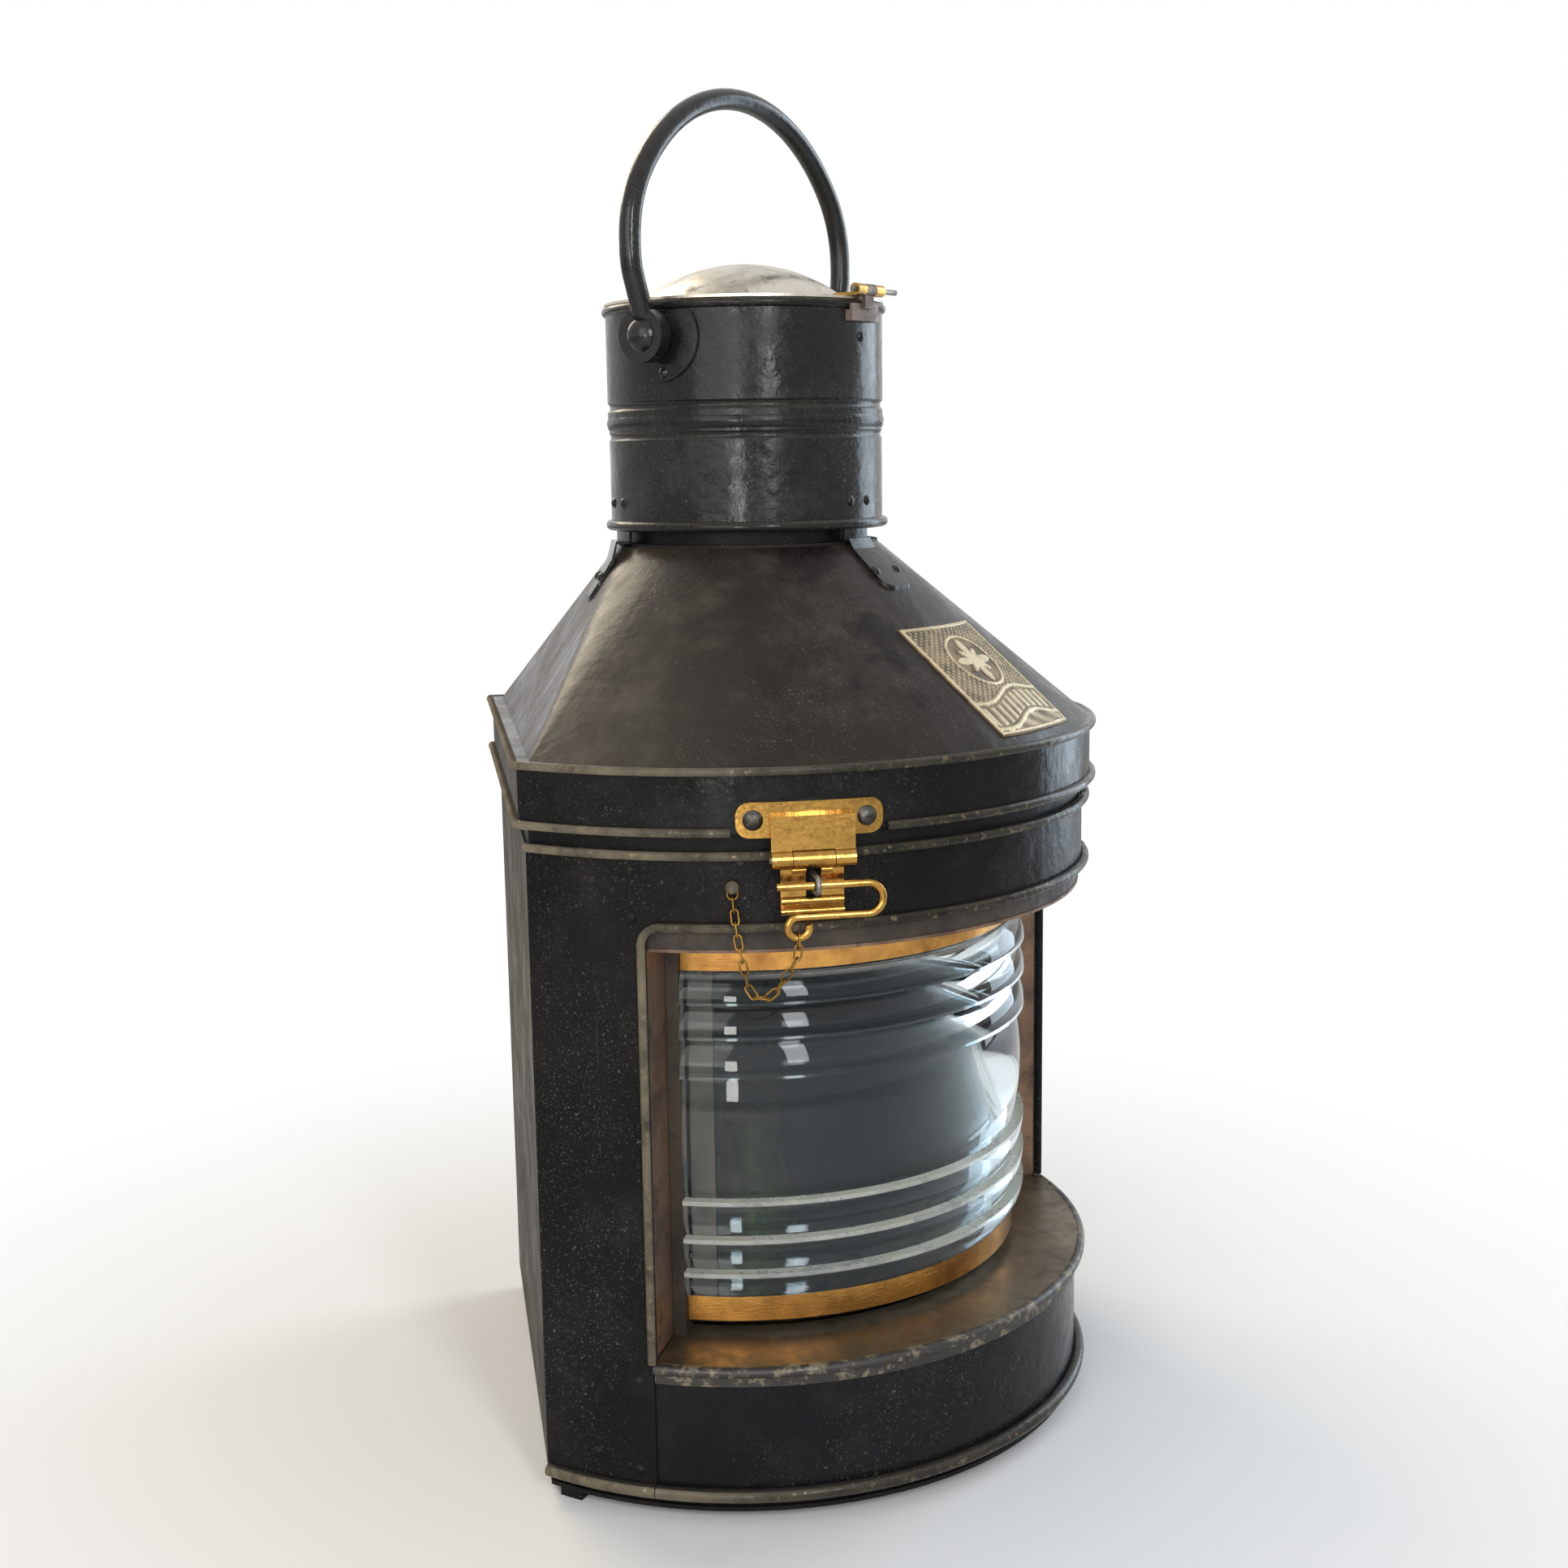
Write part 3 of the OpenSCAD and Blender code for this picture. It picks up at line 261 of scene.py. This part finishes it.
def bright_metal(name, light, dark, rough=(0.22, 0.45), scale=45.0, metallic=1.0, grain=(1.0, 1.0, 1.0), spots=0.5,
                 rim=None):
    """Bare metal with tarnished clouds, dark spots and fine scratches, and chipped black paint from the radius
    rim outwards."""
    f = Finish(name, Metallic=metallic)
    cloud = f.noise(scale, 5.0, 0.66)
    fine = f.noise(scale * 7.0, 3.0, 0.6, stretch=grain)
    colour = f.mix(f.step(cloud, 0.38, 0.66), light, dark)
    dirt = f.math("MULTIPLY", f.step(f.noise(scale * 3.1, 4.0, 0.7), 0.58, 0.70), spots)
    colour = f.mix(dirt, colour, (dark[0] * 0.35, dark[1] * 0.33, dark[2] * 0.33))
    if rim:
        _, _, _, r = f.places()
        painted = f.step(r, rim * MM, (rim + 0.6) * MM)
        chips = f.step(f.noise(130.0, 5.0, 0.75), 0.50, 0.62)
        colour = f.mix(painted, colour, f.mix(chips, (0.020, 0.017, 0.014), (0.17, 0.14, 0.09)))
        f.set("Metallic", f.math("MULTIPLY", f.math("SUBTRACT", 1.0, painted), metallic))
    f.set("Base Color", colour)
    f.set("Roughness", f.step(f.math("MULTIPLY", f.math("ADD", cloud, fine), 0.5), 0.38, 0.62, *rough))
    f.bump([(fine, 0.0002, 0.35), (cloud, 0.0006, 0.25)])
    return f.material


def clear_glass(name, colour, depth_colour, density, rough=0.012, dusty=0.0, lip_highlight_heights=()):
    """Cast glass with faint smears, dust on the ledges that face up and a khaki film on the rims of the ribs, given
    by their heights, which paints the bright lines along the rib edges as a highlight; it lets the lamps' light
    through."""
    f = Finish(name, Transmission_Weight=1.0, IOR=1.5, Specular_Tint=(0.48, 0.48, 0.48, 1.0))
    f.shader.inputs["Base Color"].default_value = (*colour, 1.0)
    smear = f.noise(30.0, 4.0, 0.6, stretch=(1.0, 1.0, 0.35))
    wiped = f.step(smear, 0.42, 0.72, rough, rough + 0.07)
    f.set("Roughness", wiped)
    if dusty:
        facing = f.add("ShaderNodeSeparateXYZ", {"Vector": f.add("ShaderNodeNewGeometry").outputs["Normal"]})
        inner = f.add("ShaderNodeNewGeometry").outputs["Backfacing"]
        outward = f.math("SUBTRACT", 1.0, f.math("MULTIPLY", inner, 2.0))
        ledge_dust_and_highlight = f.step(f.math("MULTIPLY", facing.outputs["Z"], outward), 0.60, 0.78)
        # The film on the rims of the lower ribs is a painted highlight of the bright lines along their edges.
        if lip_highlight_heights:
            _, _, z, r = f.places()
            lip_highlight = any_of(f, [f.band(z, (high - 1.5) * MM, (high + 0.1) * MM, 0.6 * MM) for high in lip_highlight_heights])
            lip_highlight = f.math("MULTIPLY", lip_highlight, f.step(r, 119.0 * MM, 120.5 * MM))
            ledge_dust_and_highlight = f.math("MAXIMUM", ledge_dust_and_highlight, f.math("MULTIPLY", lip_highlight, 0.7))
        film = f.math("MULTIPLY", ledge_dust_and_highlight, f.step(f.noise(60.0, 5.0, 0.7), 0.28, 0.62, 0.45 * dusty, dusty))
        f.set("Base Color", f.mix(film, colour, (0.40, 0.36, 0.22)))
        f.set("Transmission Weight", f.math("SUBTRACT", 1.0, film))
        f.set("Roughness", f.math("ADD", wiped, f.math("MULTIPLY", film, 0.5)))
    f.bump([(f.noise(14.0, 2.0, 0.4), 0.0007, 0.35)])
    path = f.add("ShaderNodeLightPath")
    pass_through = f.add("ShaderNodeBsdfTransparent", {"Color": (0.86, 0.92, 0.90, 1.0)})
    both = f.add("ShaderNodeMixShader")
    f.put(both.inputs[0], path.outputs["Is Shadow Ray"])
    f.put(both.inputs[1], f.shader.outputs["BSDF"])
    f.put(both.inputs[2], pass_through.outputs["BSDF"])
    f.put(f.output.inputs["Surface"], both.outputs["Shader"])
    depth = f.add("ShaderNodeVolumeAbsorption", {"Color": (*depth_colour, 1.0), "Density": density})
    f.put(f.output.inputs["Volume"], depth.outputs["Volume"])
    return f.material


def woven_cotton(name):
    f = Finish(name, Roughness=0.9)
    weave = f.noise(1.0, 2.0, 0.5, stretch=(2600.0, 2600.0, 700.0))
    _, _, z, _ = f.places()
    charred = f.step(z, 0.104, 0.112)
    cloth = f.mix(f.step(weave, 0.35, 0.65), (0.62, 0.56, 0.44), (0.78, 0.73, 0.60))
    f.set("Base Color", f.mix(charred, cloth, (0.03, 0.025, 0.02)))
    f.bump([(weave, 0.0004, 0.8)])
    return f.material


# Modelling helpers

def start_clean():
    """Leaves edit mode with nothing selected."""
    if bpy.context.object and bpy.context.object.mode != "OBJECT":
        bpy.ops.object.mode_set(mode="OBJECT")
    bpy.ops.object.select_all(action="DESELECT")


def settle(piece, body, material, smooth=35.0):
    """Puts a finished piece's place into its mesh, gives it its finish and lets it ride."""
    start_clean()
    piece.select_set(True)
    bpy.context.view_layer.objects.active = piece
    bpy.ops.object.transform_apply(location=True, rotation=True, scale=True)
    bpy.ops.object.shade_smooth_by_angle(angle=math.radians(smooth))
    piece.data.materials.clear()
    piece.data.materials.append(material)
    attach(piece, body)
    return piece


# Sizes and colours that a user may change

class LampLooks(bpy.types.PropertyGroup):
    paint: bpy.props.FloatVectorProperty(
        name="Paint", description="Colour of the black paint", subtype="COLOR",
        default=(0.0068, 0.0072, 0.0076), min=0.0, max=1.0)
    brass: bpy.props.FloatVectorProperty(
        name="Brass", description="Colour of the polished brass", subtype="COLOR",
        default=(0.50, 0.28, 0.070), min=0.0, max=1.0)
    copper: bpy.props.FloatVectorProperty(
        name="Copper", description="Colour of the old copper round the window", subtype="COLOR",
        default=(0.155, 0.118, 0.076), min=0.0, max=1.0)
    haze: bpy.props.FloatProperty(
        name="Haze", description="How dusty the paint looks", default=0.34, min=0.0, max=1.0,
        subtype="FACTOR")


class LampSizes(bpy.types.PropertyGroup):
    badge_relief: bpy.props.FloatProperty(
        name="Badge relief", description="Height of the badge's raised work",
        default=0.0008, min=0.0, max=0.003, unit="LENGTH")
    badge_width: bpy.props.FloatProperty(
        name="Badge width", description="Width of the badge", default=0.054, min=0.03, max=0.07, unit="LENGTH")


class LampStage(bpy.types.PropertyGroup):
    key: bpy.props.FloatProperty(
        name="Key light", description="Power of the tall window light at the right", default=9.0, min=0.0,
        unit="POWER")
    fill: bpy.props.FloatProperty(
        name="Fill light", description="Power of the light left of the camera", default=8.0, min=0.0,
        unit="POWER")
    pane: bpy.props.FloatProperty(
        name="Pane light", description="Power of the narrow pane beside the camera", default=3.5, min=0.0,
        unit="POWER")
    back: bpy.props.FloatProperty(
        name="Back light", description="Power of the light behind the hood", default=11.0, min=0.0, unit="POWER")
    strip: bpy.props.FloatProperty(
        name="Strip light", description="Power of the upright strip right of the camera", default=9.0, min=0.0,
        unit="POWER")
    floor: bpy.props.FloatVectorProperty(
        name="Floor", description="Colour of the floor", subtype="COLOR", default=(0.86, 0.86, 0.86),
        min=0.0, max=1.0)


# Operators

class LAMP_OT_stage(bpy.types.Operator):
    """Sets the floor, the world, the lamps and the camera"""

    bl_idname = "lamp.stage"
    bl_label = "Stage"

    def execute(self, context):
        stage = context.scene.lamp_stage
        self.camera(context)
        self.floor(stage)
        self.world(context)
        self.light("key", (1.17, 0.50, 0.55), (0.60, 1.1), stage.key, (0.72, 0.87, 1.0))
        self.light("fill", (-0.85, -1.30, 0.85), (0.9, 1.1), stage.fill, (1.0, 0.97, 0.93))
        self.light("pane", (-0.42, -1.50, 0.34), (0.12, 0.42), stage.pane, (1.0, 0.99, 0.96))
        self.light("back", (-0.60, 1.05, 1.20), (0.8, 0.8), stage.back, (1.0, 0.86, 0.64))
        self.light("strip", (0.26, -1.55, 0.82), (0.24, 0.85), stage.strip, (0.95, 0.98, 1.0))
        context.scene.view_settings.view_transform = "Standard"
        return {"FINISHED"}

    def camera(self, context):
        data = bpy.data.cameras.new("camera")
        data.lens = 45.62
        data.sensor_width = 36.0
        data.clip_start = 0.01
        data.clip_end = 50.0
        camera = bpy.data.objects.new("camera", data)
        context.collection.objects.link(camera)
        right = Vector((0.98283, -0.18389, -0.01490))
        up = Vector((0.04446, 0.15770, 0.98649))
        back = Vector((-0.17906, -0.97021, 0.16317))
        turn = Matrix((right, up, back)).transposed().to_4x4()
        camera.matrix_world = Matrix.Translation(Vector((-138.24, -847.16, 406.95)) * MM) @ turn
        context.scene.camera = camera

    def floor(self, stage):
        start_clean()
        bpy.ops.mesh.primitive_plane_add(size=12.0)
        floor = bpy.context.object
        floor.name = "floor"
        f = Finish("floor_paint", Roughness=0.9)
        f.shader.inputs["Specular IOR Level"].default_value = 0.1
        tone = f.noise(3.0, 2.0, 0.5)
        base = tuple(stage.floor)
        f.set("Base Color", f.mix(f.step(tone, 0.3, 0.7), base, tuple(c * 0.985 for c in base)))
        _, _, _, far = f.places()
        white = f.add("ShaderNodeEmission", {"Color": (1.0, 1.0, 1.0, 1.0), "Strength": 1.0})
        seen = f.add("ShaderNodeLightPath").outputs["Is Camera Ray"]
        ground = f.add("ShaderNodeMixShader")
        f.put(ground.inputs[0], f.math("MULTIPLY", seen, f.step(far, 0.17, 0.55)))
        f.put(ground.inputs[1], f.shader.outputs["BSDF"])
        f.put(ground.inputs[2], white.outputs["Emission"])
        f.put(f.output.inputs["Surface"], ground.outputs["Shader"])
        floor.data.materials.append(f.material)

    def world(self, context):
        world = bpy.data.worlds.new("studio")
        context.scene.world = world
        world.use_nodes = True
        nodes, links = world.node_tree.nodes, world.node_tree.links
        ground = nodes["Background"]
        path = nodes.new("ShaderNodeLightPath")
        seen = nodes.new("ShaderNodeMath")
        seen.operation = "MAXIMUM"
        seen_all = nodes.new("ShaderNodeMath")
        seen_all.operation = "MAXIMUM"
        links.new(path.outputs["Is Camera Ray"], seen.inputs[0])
        links.new(path.outputs["Is Transmission Ray"], seen.inputs[1])
        links.new(seen.outputs[0], seen_all.inputs[0])
        links.new(path.outputs["Is Glossy Ray"], seen_all.inputs[1])
        strength = nodes.new("ShaderNodeMapRange")
        links.new(seen_all.outputs[0], strength.inputs["Value"])
        strength.inputs["To Min"].default_value = 0.42
        strength.inputs["To Max"].default_value = 1.0
        links.new(strength.outputs["Result"], ground.inputs["Strength"])
        ground.inputs["Color"].default_value = (1.0, 1.0, 1.0, 1.0)

    def light(self, name, place, size, power, colour):
        data = bpy.data.lights.new(name, "AREA")
        data.shape = "RECTANGLE"
        data.size, data.size_y = size
        data.energy = power
        data.color = colour
        lamp = bpy.data.objects.new(name, data)
        bpy.context.collection.objects.link(lamp)
        lamp.location = place
        lamp.rotation_euler = (Vector(place) - Vector((0, 0, 0.25))).to_track_quat("Z", "Y").to_euler()


class LAMP_OT_paint(bpy.types.Operator):
    """Paints the casing, base, hood, chimney and bail"""

    bl_idname = "lamp.paint"
    bl_label = "Black paint"

    def execute(self, context):
        looks = context.scene.lamp_looks
        tint = tuple(looks.paint)
        haze = looks.haze
        casing = japan_black(
            "casing_paint", tint, haze * 0.3, 0.7, gloss=0.22, dusty=0.5, dents=0.8, shine=0.075,
            flats=[("x", -1.0, 100.8), ("y", 1.0, 100.8)],
            edges=[(("r", 148.9, 152.0, 0.5), ("z", 8.0, 20.0, 1.0)),
                   (("r", 148.9, 152.0, 0.5), ("z", 60.0, 266.0, 1.0))],
            inside=[("x", -100.6, -100.2), ("y", 100.6, 100.2), ("r", 146.1, 145.8)])
        dress("casing", casing)
        apron = japan_black(
            "apron_paint", (tint[0] * 0.8, tint[1] * 0.85, tint[2] * 1.0), haze * 0.35, 0.6, gloss=0.20, dusty=0.5,
            edges=[(("r", 148.9, 152.0, 0.5), ("z", 8.0, 17.0, 1.0))])
        dress("front_apron", apron)
        dark = japan_black("base_paint", tuple(c * 0.6 for c in tint), haze * 0.5, 0.3, gloss=0.5)
        for node in ("base_pan", "corner_feet", "hood_collar", "hood_neck"):
            dress(node, dark)
        skirt = japan_black(
            "skirt_paint", tint, haze * 0.35, 0.5, gloss=0.18, dusty=0.75, shine=0.13,
            flats=[("x", -1.0, 103.2), ("y", 1.0, 103.2)],
            edges=[(("r", 151.4, 160.0, 0.4), ("z", 268.0, 297.0, 1.0)),
                   (("x", -120.0, -105.2, 0.4), ("z", 268.0, 297.0, 1.0)),
                   (("y", 105.2, 120.0, 0.4), ("z", 268.0, 297.0, 1.0))])
        dress("hood_skirt", skirt)
        # The cone's film of dust is made thicker at its left as a painted highlight, and patchy painted shade darkens
        # its right half.
        cone = japan_black("cone_paint", (tint[0] * 1.6, tint[1] * 1.2, tint[2] * 1.1), haze * 1.7, 0.7, gloss=0.29,
                           shine=0.14, dusty=0.26, left_highlight_span=(-95.0, -5.0), right_shade=0.8)
        dress("hood_cone", cone)
        chimney = japan_black("chimney_paint", tint, haze * 0.8, 0.45, gloss=0.19, shine=0.22, dusty=0.75)
        for node in ("chimney", "chimney_brackets", "hood_rivets", "pivot_plates"):
            dress(node, chimney)
        glossy = japan_black("bail_paint", (tint[0] * 0.9, tint[1] * 0.9, tint[2] * 0.9), haze * 0.25, 0.3,
                             gloss=0.17, dents=0.25, shine=0.35, dusty=0.3)
        for node in ("bail_handle", "pivot_studs"):
            dress(node, glossy)
        for node in ("casing_rivets", "staple_plate", "chain_stud"):
            dress(node, casing)
        hinge = japan_black("hinge_paint", tuple(c * 1.3 for c in tint), haze * 0.6, 0.4, gloss=0.30, dusty=0.5)
        for node in ("hood_hinge_lower_leaf", "hood_hinge_upper_leaf"):
            dress(node, hinge)
        return {"FINISHED"}


class LAMP_OT_metal(bpy.types.Operator):
    """Gives the copper, brass, tin and steel parts their finishes"""

    bl_idname = "lamp.metal"
    bl_label = "Bare metal"

    def execute(self, context):
        looks = context.scene.lamp_looks
        copper = tuple(looks.copper)
        brass = tuple(looks.brass)
        tray = bright_metal("tray_copper", copper, tuple(c * 0.62 for c in copper), (0.34, 0.55), 22.0,
                            metallic=0.8, spots=0.35, rim=145.6)
        dress("window_tray", tray)
        lining = bright_metal("lining_copper", (0.22, 0.135, 0.085), (0.10, 0.062, 0.045), (0.42, 0.62), 40.0,
                              metallic=0.65, spots=0.6)
        for node in ("window_ceiling", "jamb_left", "jamb_right", "font_ring"):
            dress(node, lining)
        sooty = bright_metal("sooty_copper", (0.050, 0.036, 0.026), (0.022, 0.017, 0.014), (0.5, 0.7), 40.0,
                             metallic=0.3, spots=0.6)
        for node in ("lens_posts", "signal_glass_guides"):
            dress(node, sooty)
        ring = bright_metal("ring_brass", (0.74, 0.38, 0.10), (0.34, 0.16, 0.045), (0.10, 0.24), 30.0,
                            grain=(1.0, 1.0, 12.0), spots=0.2)
        for node in ("lens_ring_lower", "lens_ring_upper"):
            dress(node, ring)
        polished = bright_metal("hasp_brass", brass, tuple(c * 0.62 for c in brass), (0.12, 0.30), 70.0, spots=0.4)
        for node in ("hasp_plate", "hasp_leaf", "clip_pin", "cap_hinge_upper_leaf"):
            dress(node, polished)
        dull = bright_metal("chain_brass", tuple(c * 0.62 for c in brass), tuple(c * 0.28 for c in brass),
                            (0.35, 0.55), 120.0, spots=0.6)
        for node in ("safety_chain", "chain_end_link", "oil_font", "filler_cap", "burner", "wick_knob"):
            dress(node, dull)
        steel = bright_metal("screw_steel", (0.30, 0.29, 0.27), (0.12, 0.115, 0.11), (0.35, 0.6), 90.0)
        for node in ("staple", "hood_hinge_pin", "hasp_hinge_pin", "wick_spindle", "cap_hinge_pin"):
            dress(node, steel)
        dress("hasp_screws", bright_metal("old_screws", (0.105, 0.098, 0.088), (0.040, 0.037, 0.033), (0.3, 0.5), 110.0))
        tin = bright_metal("cap_tin", (0.62, 0.58, 0.49), (0.34, 0.30, 0.23), (0.20, 0.42), 24.0, spots=0.75)
        dress("chimney_cap", tin)
        dress("cap_hinge_lower_leaf", bright_metal("leaf_copper", (0.21, 0.155, 0.130), (0.10, 0.074, 0.060),
                                                   (0.40, 0.60), 60.0, metallic=0.7))
        dress("wick", woven_cotton("wick_weave"))
        return {"FINISHED"}


class LAMP_OT_glass(bpy.types.Operator):
    """Gives the lens and the signal glass their finishes"""

    bl_idname = "lamp.glass"
    bl_label = "Glass"

    def execute(self, context):
        dress("lens_glass", clear_glass("lens_crown_glass", (0.95, 0.975, 0.985), (0.62, 0.84, 0.90), 11.0, dusty=0.7,
                                        lip_highlight_heights=(LENS_Z - 24.7, LENS_Z - 40.3, LENS_Z - 54.2)))
        dress("signal_glass", clear_glass("signal_green_glass", (0.46, 0.62, 0.68), (0.09, 0.36, 0.44), 260.0))
        return {"FINISHED"}


class LAMP_OT_flange(bpy.types.Operator):
    """Models the ceiling's turned-up flange, which closes the slot above it behind the header band"""

    bl_idname = "lamp.flange"
    bl_label = "Ceiling flange"

    def execute(self, context):
        start_clean()
        bpy.ops.mesh.primitive_grid_add(x_subdivisions=72, y_subdivisions=4, size=1.0)
        flange = bpy.context.object
        flange.name = "ceiling_flange"
        for vertex in flange.data.vertices:
            share = vertex.co.x + 0.5
            angle = math.radians(WINDOW_FROM + share * (WINDOW_TO - WINDOW_FROM))
            z = CEILING_Z + 0.3 + (vertex.co.y + 0.5) * 14.0
            vertex.co = Vector((FLANGE_R * math.cos(angle), FLANGE_R * math.sin(angle), z)) * MM
        sheet = flange.modifiers.new("sheet", "SOLIDIFY")
        sheet.thickness = 0.0008
        sheet.offset = 0.0
        bpy.ops.object.modifier_apply(modifier="sheet")
        settle(flange, "lamp_body", bpy.data.materials["sooty_copper"])
        return {"FINISHED"}


class LAMP_OT_hinge_rivets(bpy.types.Operator):
    """Sets a row of round rivet heads on each leaf of the hood's hinge"""

    bl_idname = "lamp.hinge_rivets"
    bl_label = "Hinge rivets"

    def execute(self, context):
        for name, body, face, height in (("lower_leaf_rivets", "lamp_body", LOWER_LEAF_Y, 243.5),
                                         ("upper_leaf_rivets", "hood", UPPER_LEAF_Y, 282.5)):
            start_clean()
            heads = []
            for across in HINGE_RIVETS:
                bpy.ops.mesh.primitive_uv_sphere_add(
                    segments=24, ring_count=12, radius=2.3 * MM,
                    location=(across * MM, (face - 0.15) * MM, height * MM), scale=(1.0, 0.52, 1.0))
                heads.append(bpy.context.object)
            for head in heads:
                head.select_set(True)
            bpy.context.view_layer.objects.active = heads[0]
            bpy.ops.object.join()
            rivets = bpy.context.object
            rivets.name = name
            settle(rivets, body, bpy.data.materials["hinge_paint"])
        return {"FINISHED"}


class LAMP_OT_badge(bpy.types.Operator):
    """Models the badge: a border, a star on a stippled ground and a wave ribbon"""

    bl_idname = "lamp.badge"
    bl_label = "Badge"

    def execute(self, context):
        sizes = context.scene.lamp_sizes
        start_clean()
        columns, rows = 150, 162
        bpy.ops.mesh.primitive_grid_add(x_subdivisions=columns, y_subdivisions=rows, size=1.0)
        badge = bpy.context.object
        badge.name = "badge"
        width, height = sizes.badge_width, sizes.badge_width * 1.13
        mesh = badge.data
        attribute = mesh.attributes.new("relief", "FLOAT", "POINT")
        for vertex in mesh.vertices:
            u, v = vertex.co.x * width / MM, vertex.co.y * height / MM
            level = badge_level(u, v, width / MM, height / MM)
            attribute.data[vertex.index].value = level
            vertex.co = on_cone(u, v, 0.35 + level * sizes.badge_relief / MM)
        solid = badge.modifiers.new("thickness", "SOLIDIFY")
        solid.thickness = 0.0006
        solid.offset = -1.0
        bpy.ops.object.modifier_apply(modifier="thickness")
        f = Finish("badge_brass", Metallic=0.55)
        level = f.add("ShaderNodeAttribute", attribute_name="relief").outputs["Fac"]
        cloud = f.noise(180.0, 4.0, 0.7)
        worn = f.math("MULTIPLY", f.step(level, 0.25, 0.80), f.step(cloud, 0.30, 0.55, 0.6, 1.0))
        recess = f.mix(f.step(f.noise(90.0, 4.0, 0.7), 0.40, 0.62), (0.105, 0.078, 0.048), (0.24, 0.18, 0.105))
        f.set("Base Color", f.mix(worn, recess, (0.50, 0.40, 0.25)))
        f.set("Roughness", f.step(level, 0.2, 0.8, 0.60, 0.36))
        f.bump([(f.noise(700.0, 3.0, 0.6), 0.0002, 0.6)])
        settle(badge, "hood", f.material, 50.0)
        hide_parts("badge_plate")
        return {"FINISHED"}


def on_cone(u, v, proud):
    """The point of the cone's face at u across and v up the slope from the badge's middle, in metres."""
    high = CONE_HIGH - CONE_LOW
    run = CONE_R - CONE_TOP_R - FLUE_SHIFT * math.sqrt(2.0)
    slant = math.atan2(high, run)
    up = (CONE_R - BADGE_R) / run * high + v * math.sin(slant)
    part = up / high
    radius = CONE_R + part * (CONE_TOP_R - CONE_R)
    shift = part * FLUE_SHIFT
    angle = math.radians(-45.0) + u / radius
    r = radius + proud * math.sin(slant)
    z = CONE_LOW + up + proud * math.cos(slant)
    return Vector((r * math.cos(angle) + shift, r * math.sin(angle) - shift, z)) * MM


def badge_level(u, v, width, height):
    """Height of the badge's relief, from 0 to 1, at u across and v up, in millimetres."""
    edge = min(width / 2 - abs(u), height / 2 - abs(v))
    if edge < 0.5:
        return 0.15
    wave = 2.6 * math.sin(u * 0.135 + 0.9) + 0.07 * u
    upper = v + height / 2 - 21.0 - wave
    lower = v + height / 2 - 7.0 - wave
    if abs(upper) < 0.9 or abs(lower) < 0.9:
        return 1.0
    if edge < 1.9:
        return 0.9
    if lower > 0.0 > upper:
        inner = min(lower, -upper)
        rib = math.sin(u * 1.25) * 0.5 + 0.5
        return 0.35 + (0.45 * rib if inner > 2.2 else 0.0)
    if lower < 0.0:
        return 0.3 + 0.25 * (math.sin(u * 0.5 + v * 0.6) * 0.5 + 0.5)
    du, dv = u, v - 9.5
    r = math.hypot(du, dv)
    if 13.0 < r < 14.4:
        return 0.85
    if r < 13.0:
        turn = math.atan2(dv, du)
        reach = 12.0 * (0.34 + 0.66 * abs(math.cos(2 * turn)) ** 5)
        short = 8.2 * (0.34 + 0.66 * abs(math.cos(2 * turn + math.pi / 2)) ** 5)
        return 0.9 if r < max(reach, short) else 0.25
    dots = math.sin(u * 2.0) * math.sin(v * 2.0)
    return 0.3 + 0.4 * max(0.0, dots)


class LAMP_PT_panel(bpy.types.Panel):
    """The lamp's operators"""

    bl_idname = "LAMP_PT_panel"
    bl_label = "Side lamp"
    bl_space_type = "VIEW_3D"
    bl_region_type = "UI"
    bl_category = "Side lamp"

    def draw(self, context):
        for operator in OPERATORS:
            self.layout.operator(operator.bl_idname)


GROUPS = (LampLooks, LampSizes, LampStage)
OPERATORS = (LAMP_OT_stage, LAMP_OT_paint, LAMP_OT_metal, LAMP_OT_glass, LAMP_OT_flange,
             LAMP_OT_hinge_rivets, LAMP_OT_badge)


def register():
    for cls in GROUPS + OPERATORS + (LAMP_PT_panel,):
        bpy.utils.register_class(cls)
    bpy.types.Scene.lamp_looks = bpy.props.PointerProperty(type=LampLooks)
    bpy.types.Scene.lamp_sizes = bpy.props.PointerProperty(type=LampSizes)
    bpy.types.Scene.lamp_stage = bpy.props.PointerProperty(type=LampStage)


def unregister():
    del bpy.types.Scene.lamp_stage
    del bpy.types.Scene.lamp_sizes
    del bpy.types.Scene.lamp_looks
    for cls in reversed(GROUPS + OPERATORS + (LAMP_PT_panel,)):
        bpy.utils.unregister_class(cls)


def main():
    register()
    bpy.ops.lamp.stage()
    bpy.ops.lamp.paint()
    bpy.ops.lamp.metal()
    bpy.ops.lamp.glass()
    bpy.ops.lamp.flange()
    bpy.ops.lamp.hinge_rivets()
    bpy.ops.lamp.badge()


if __name__ == "__main__":
    main()
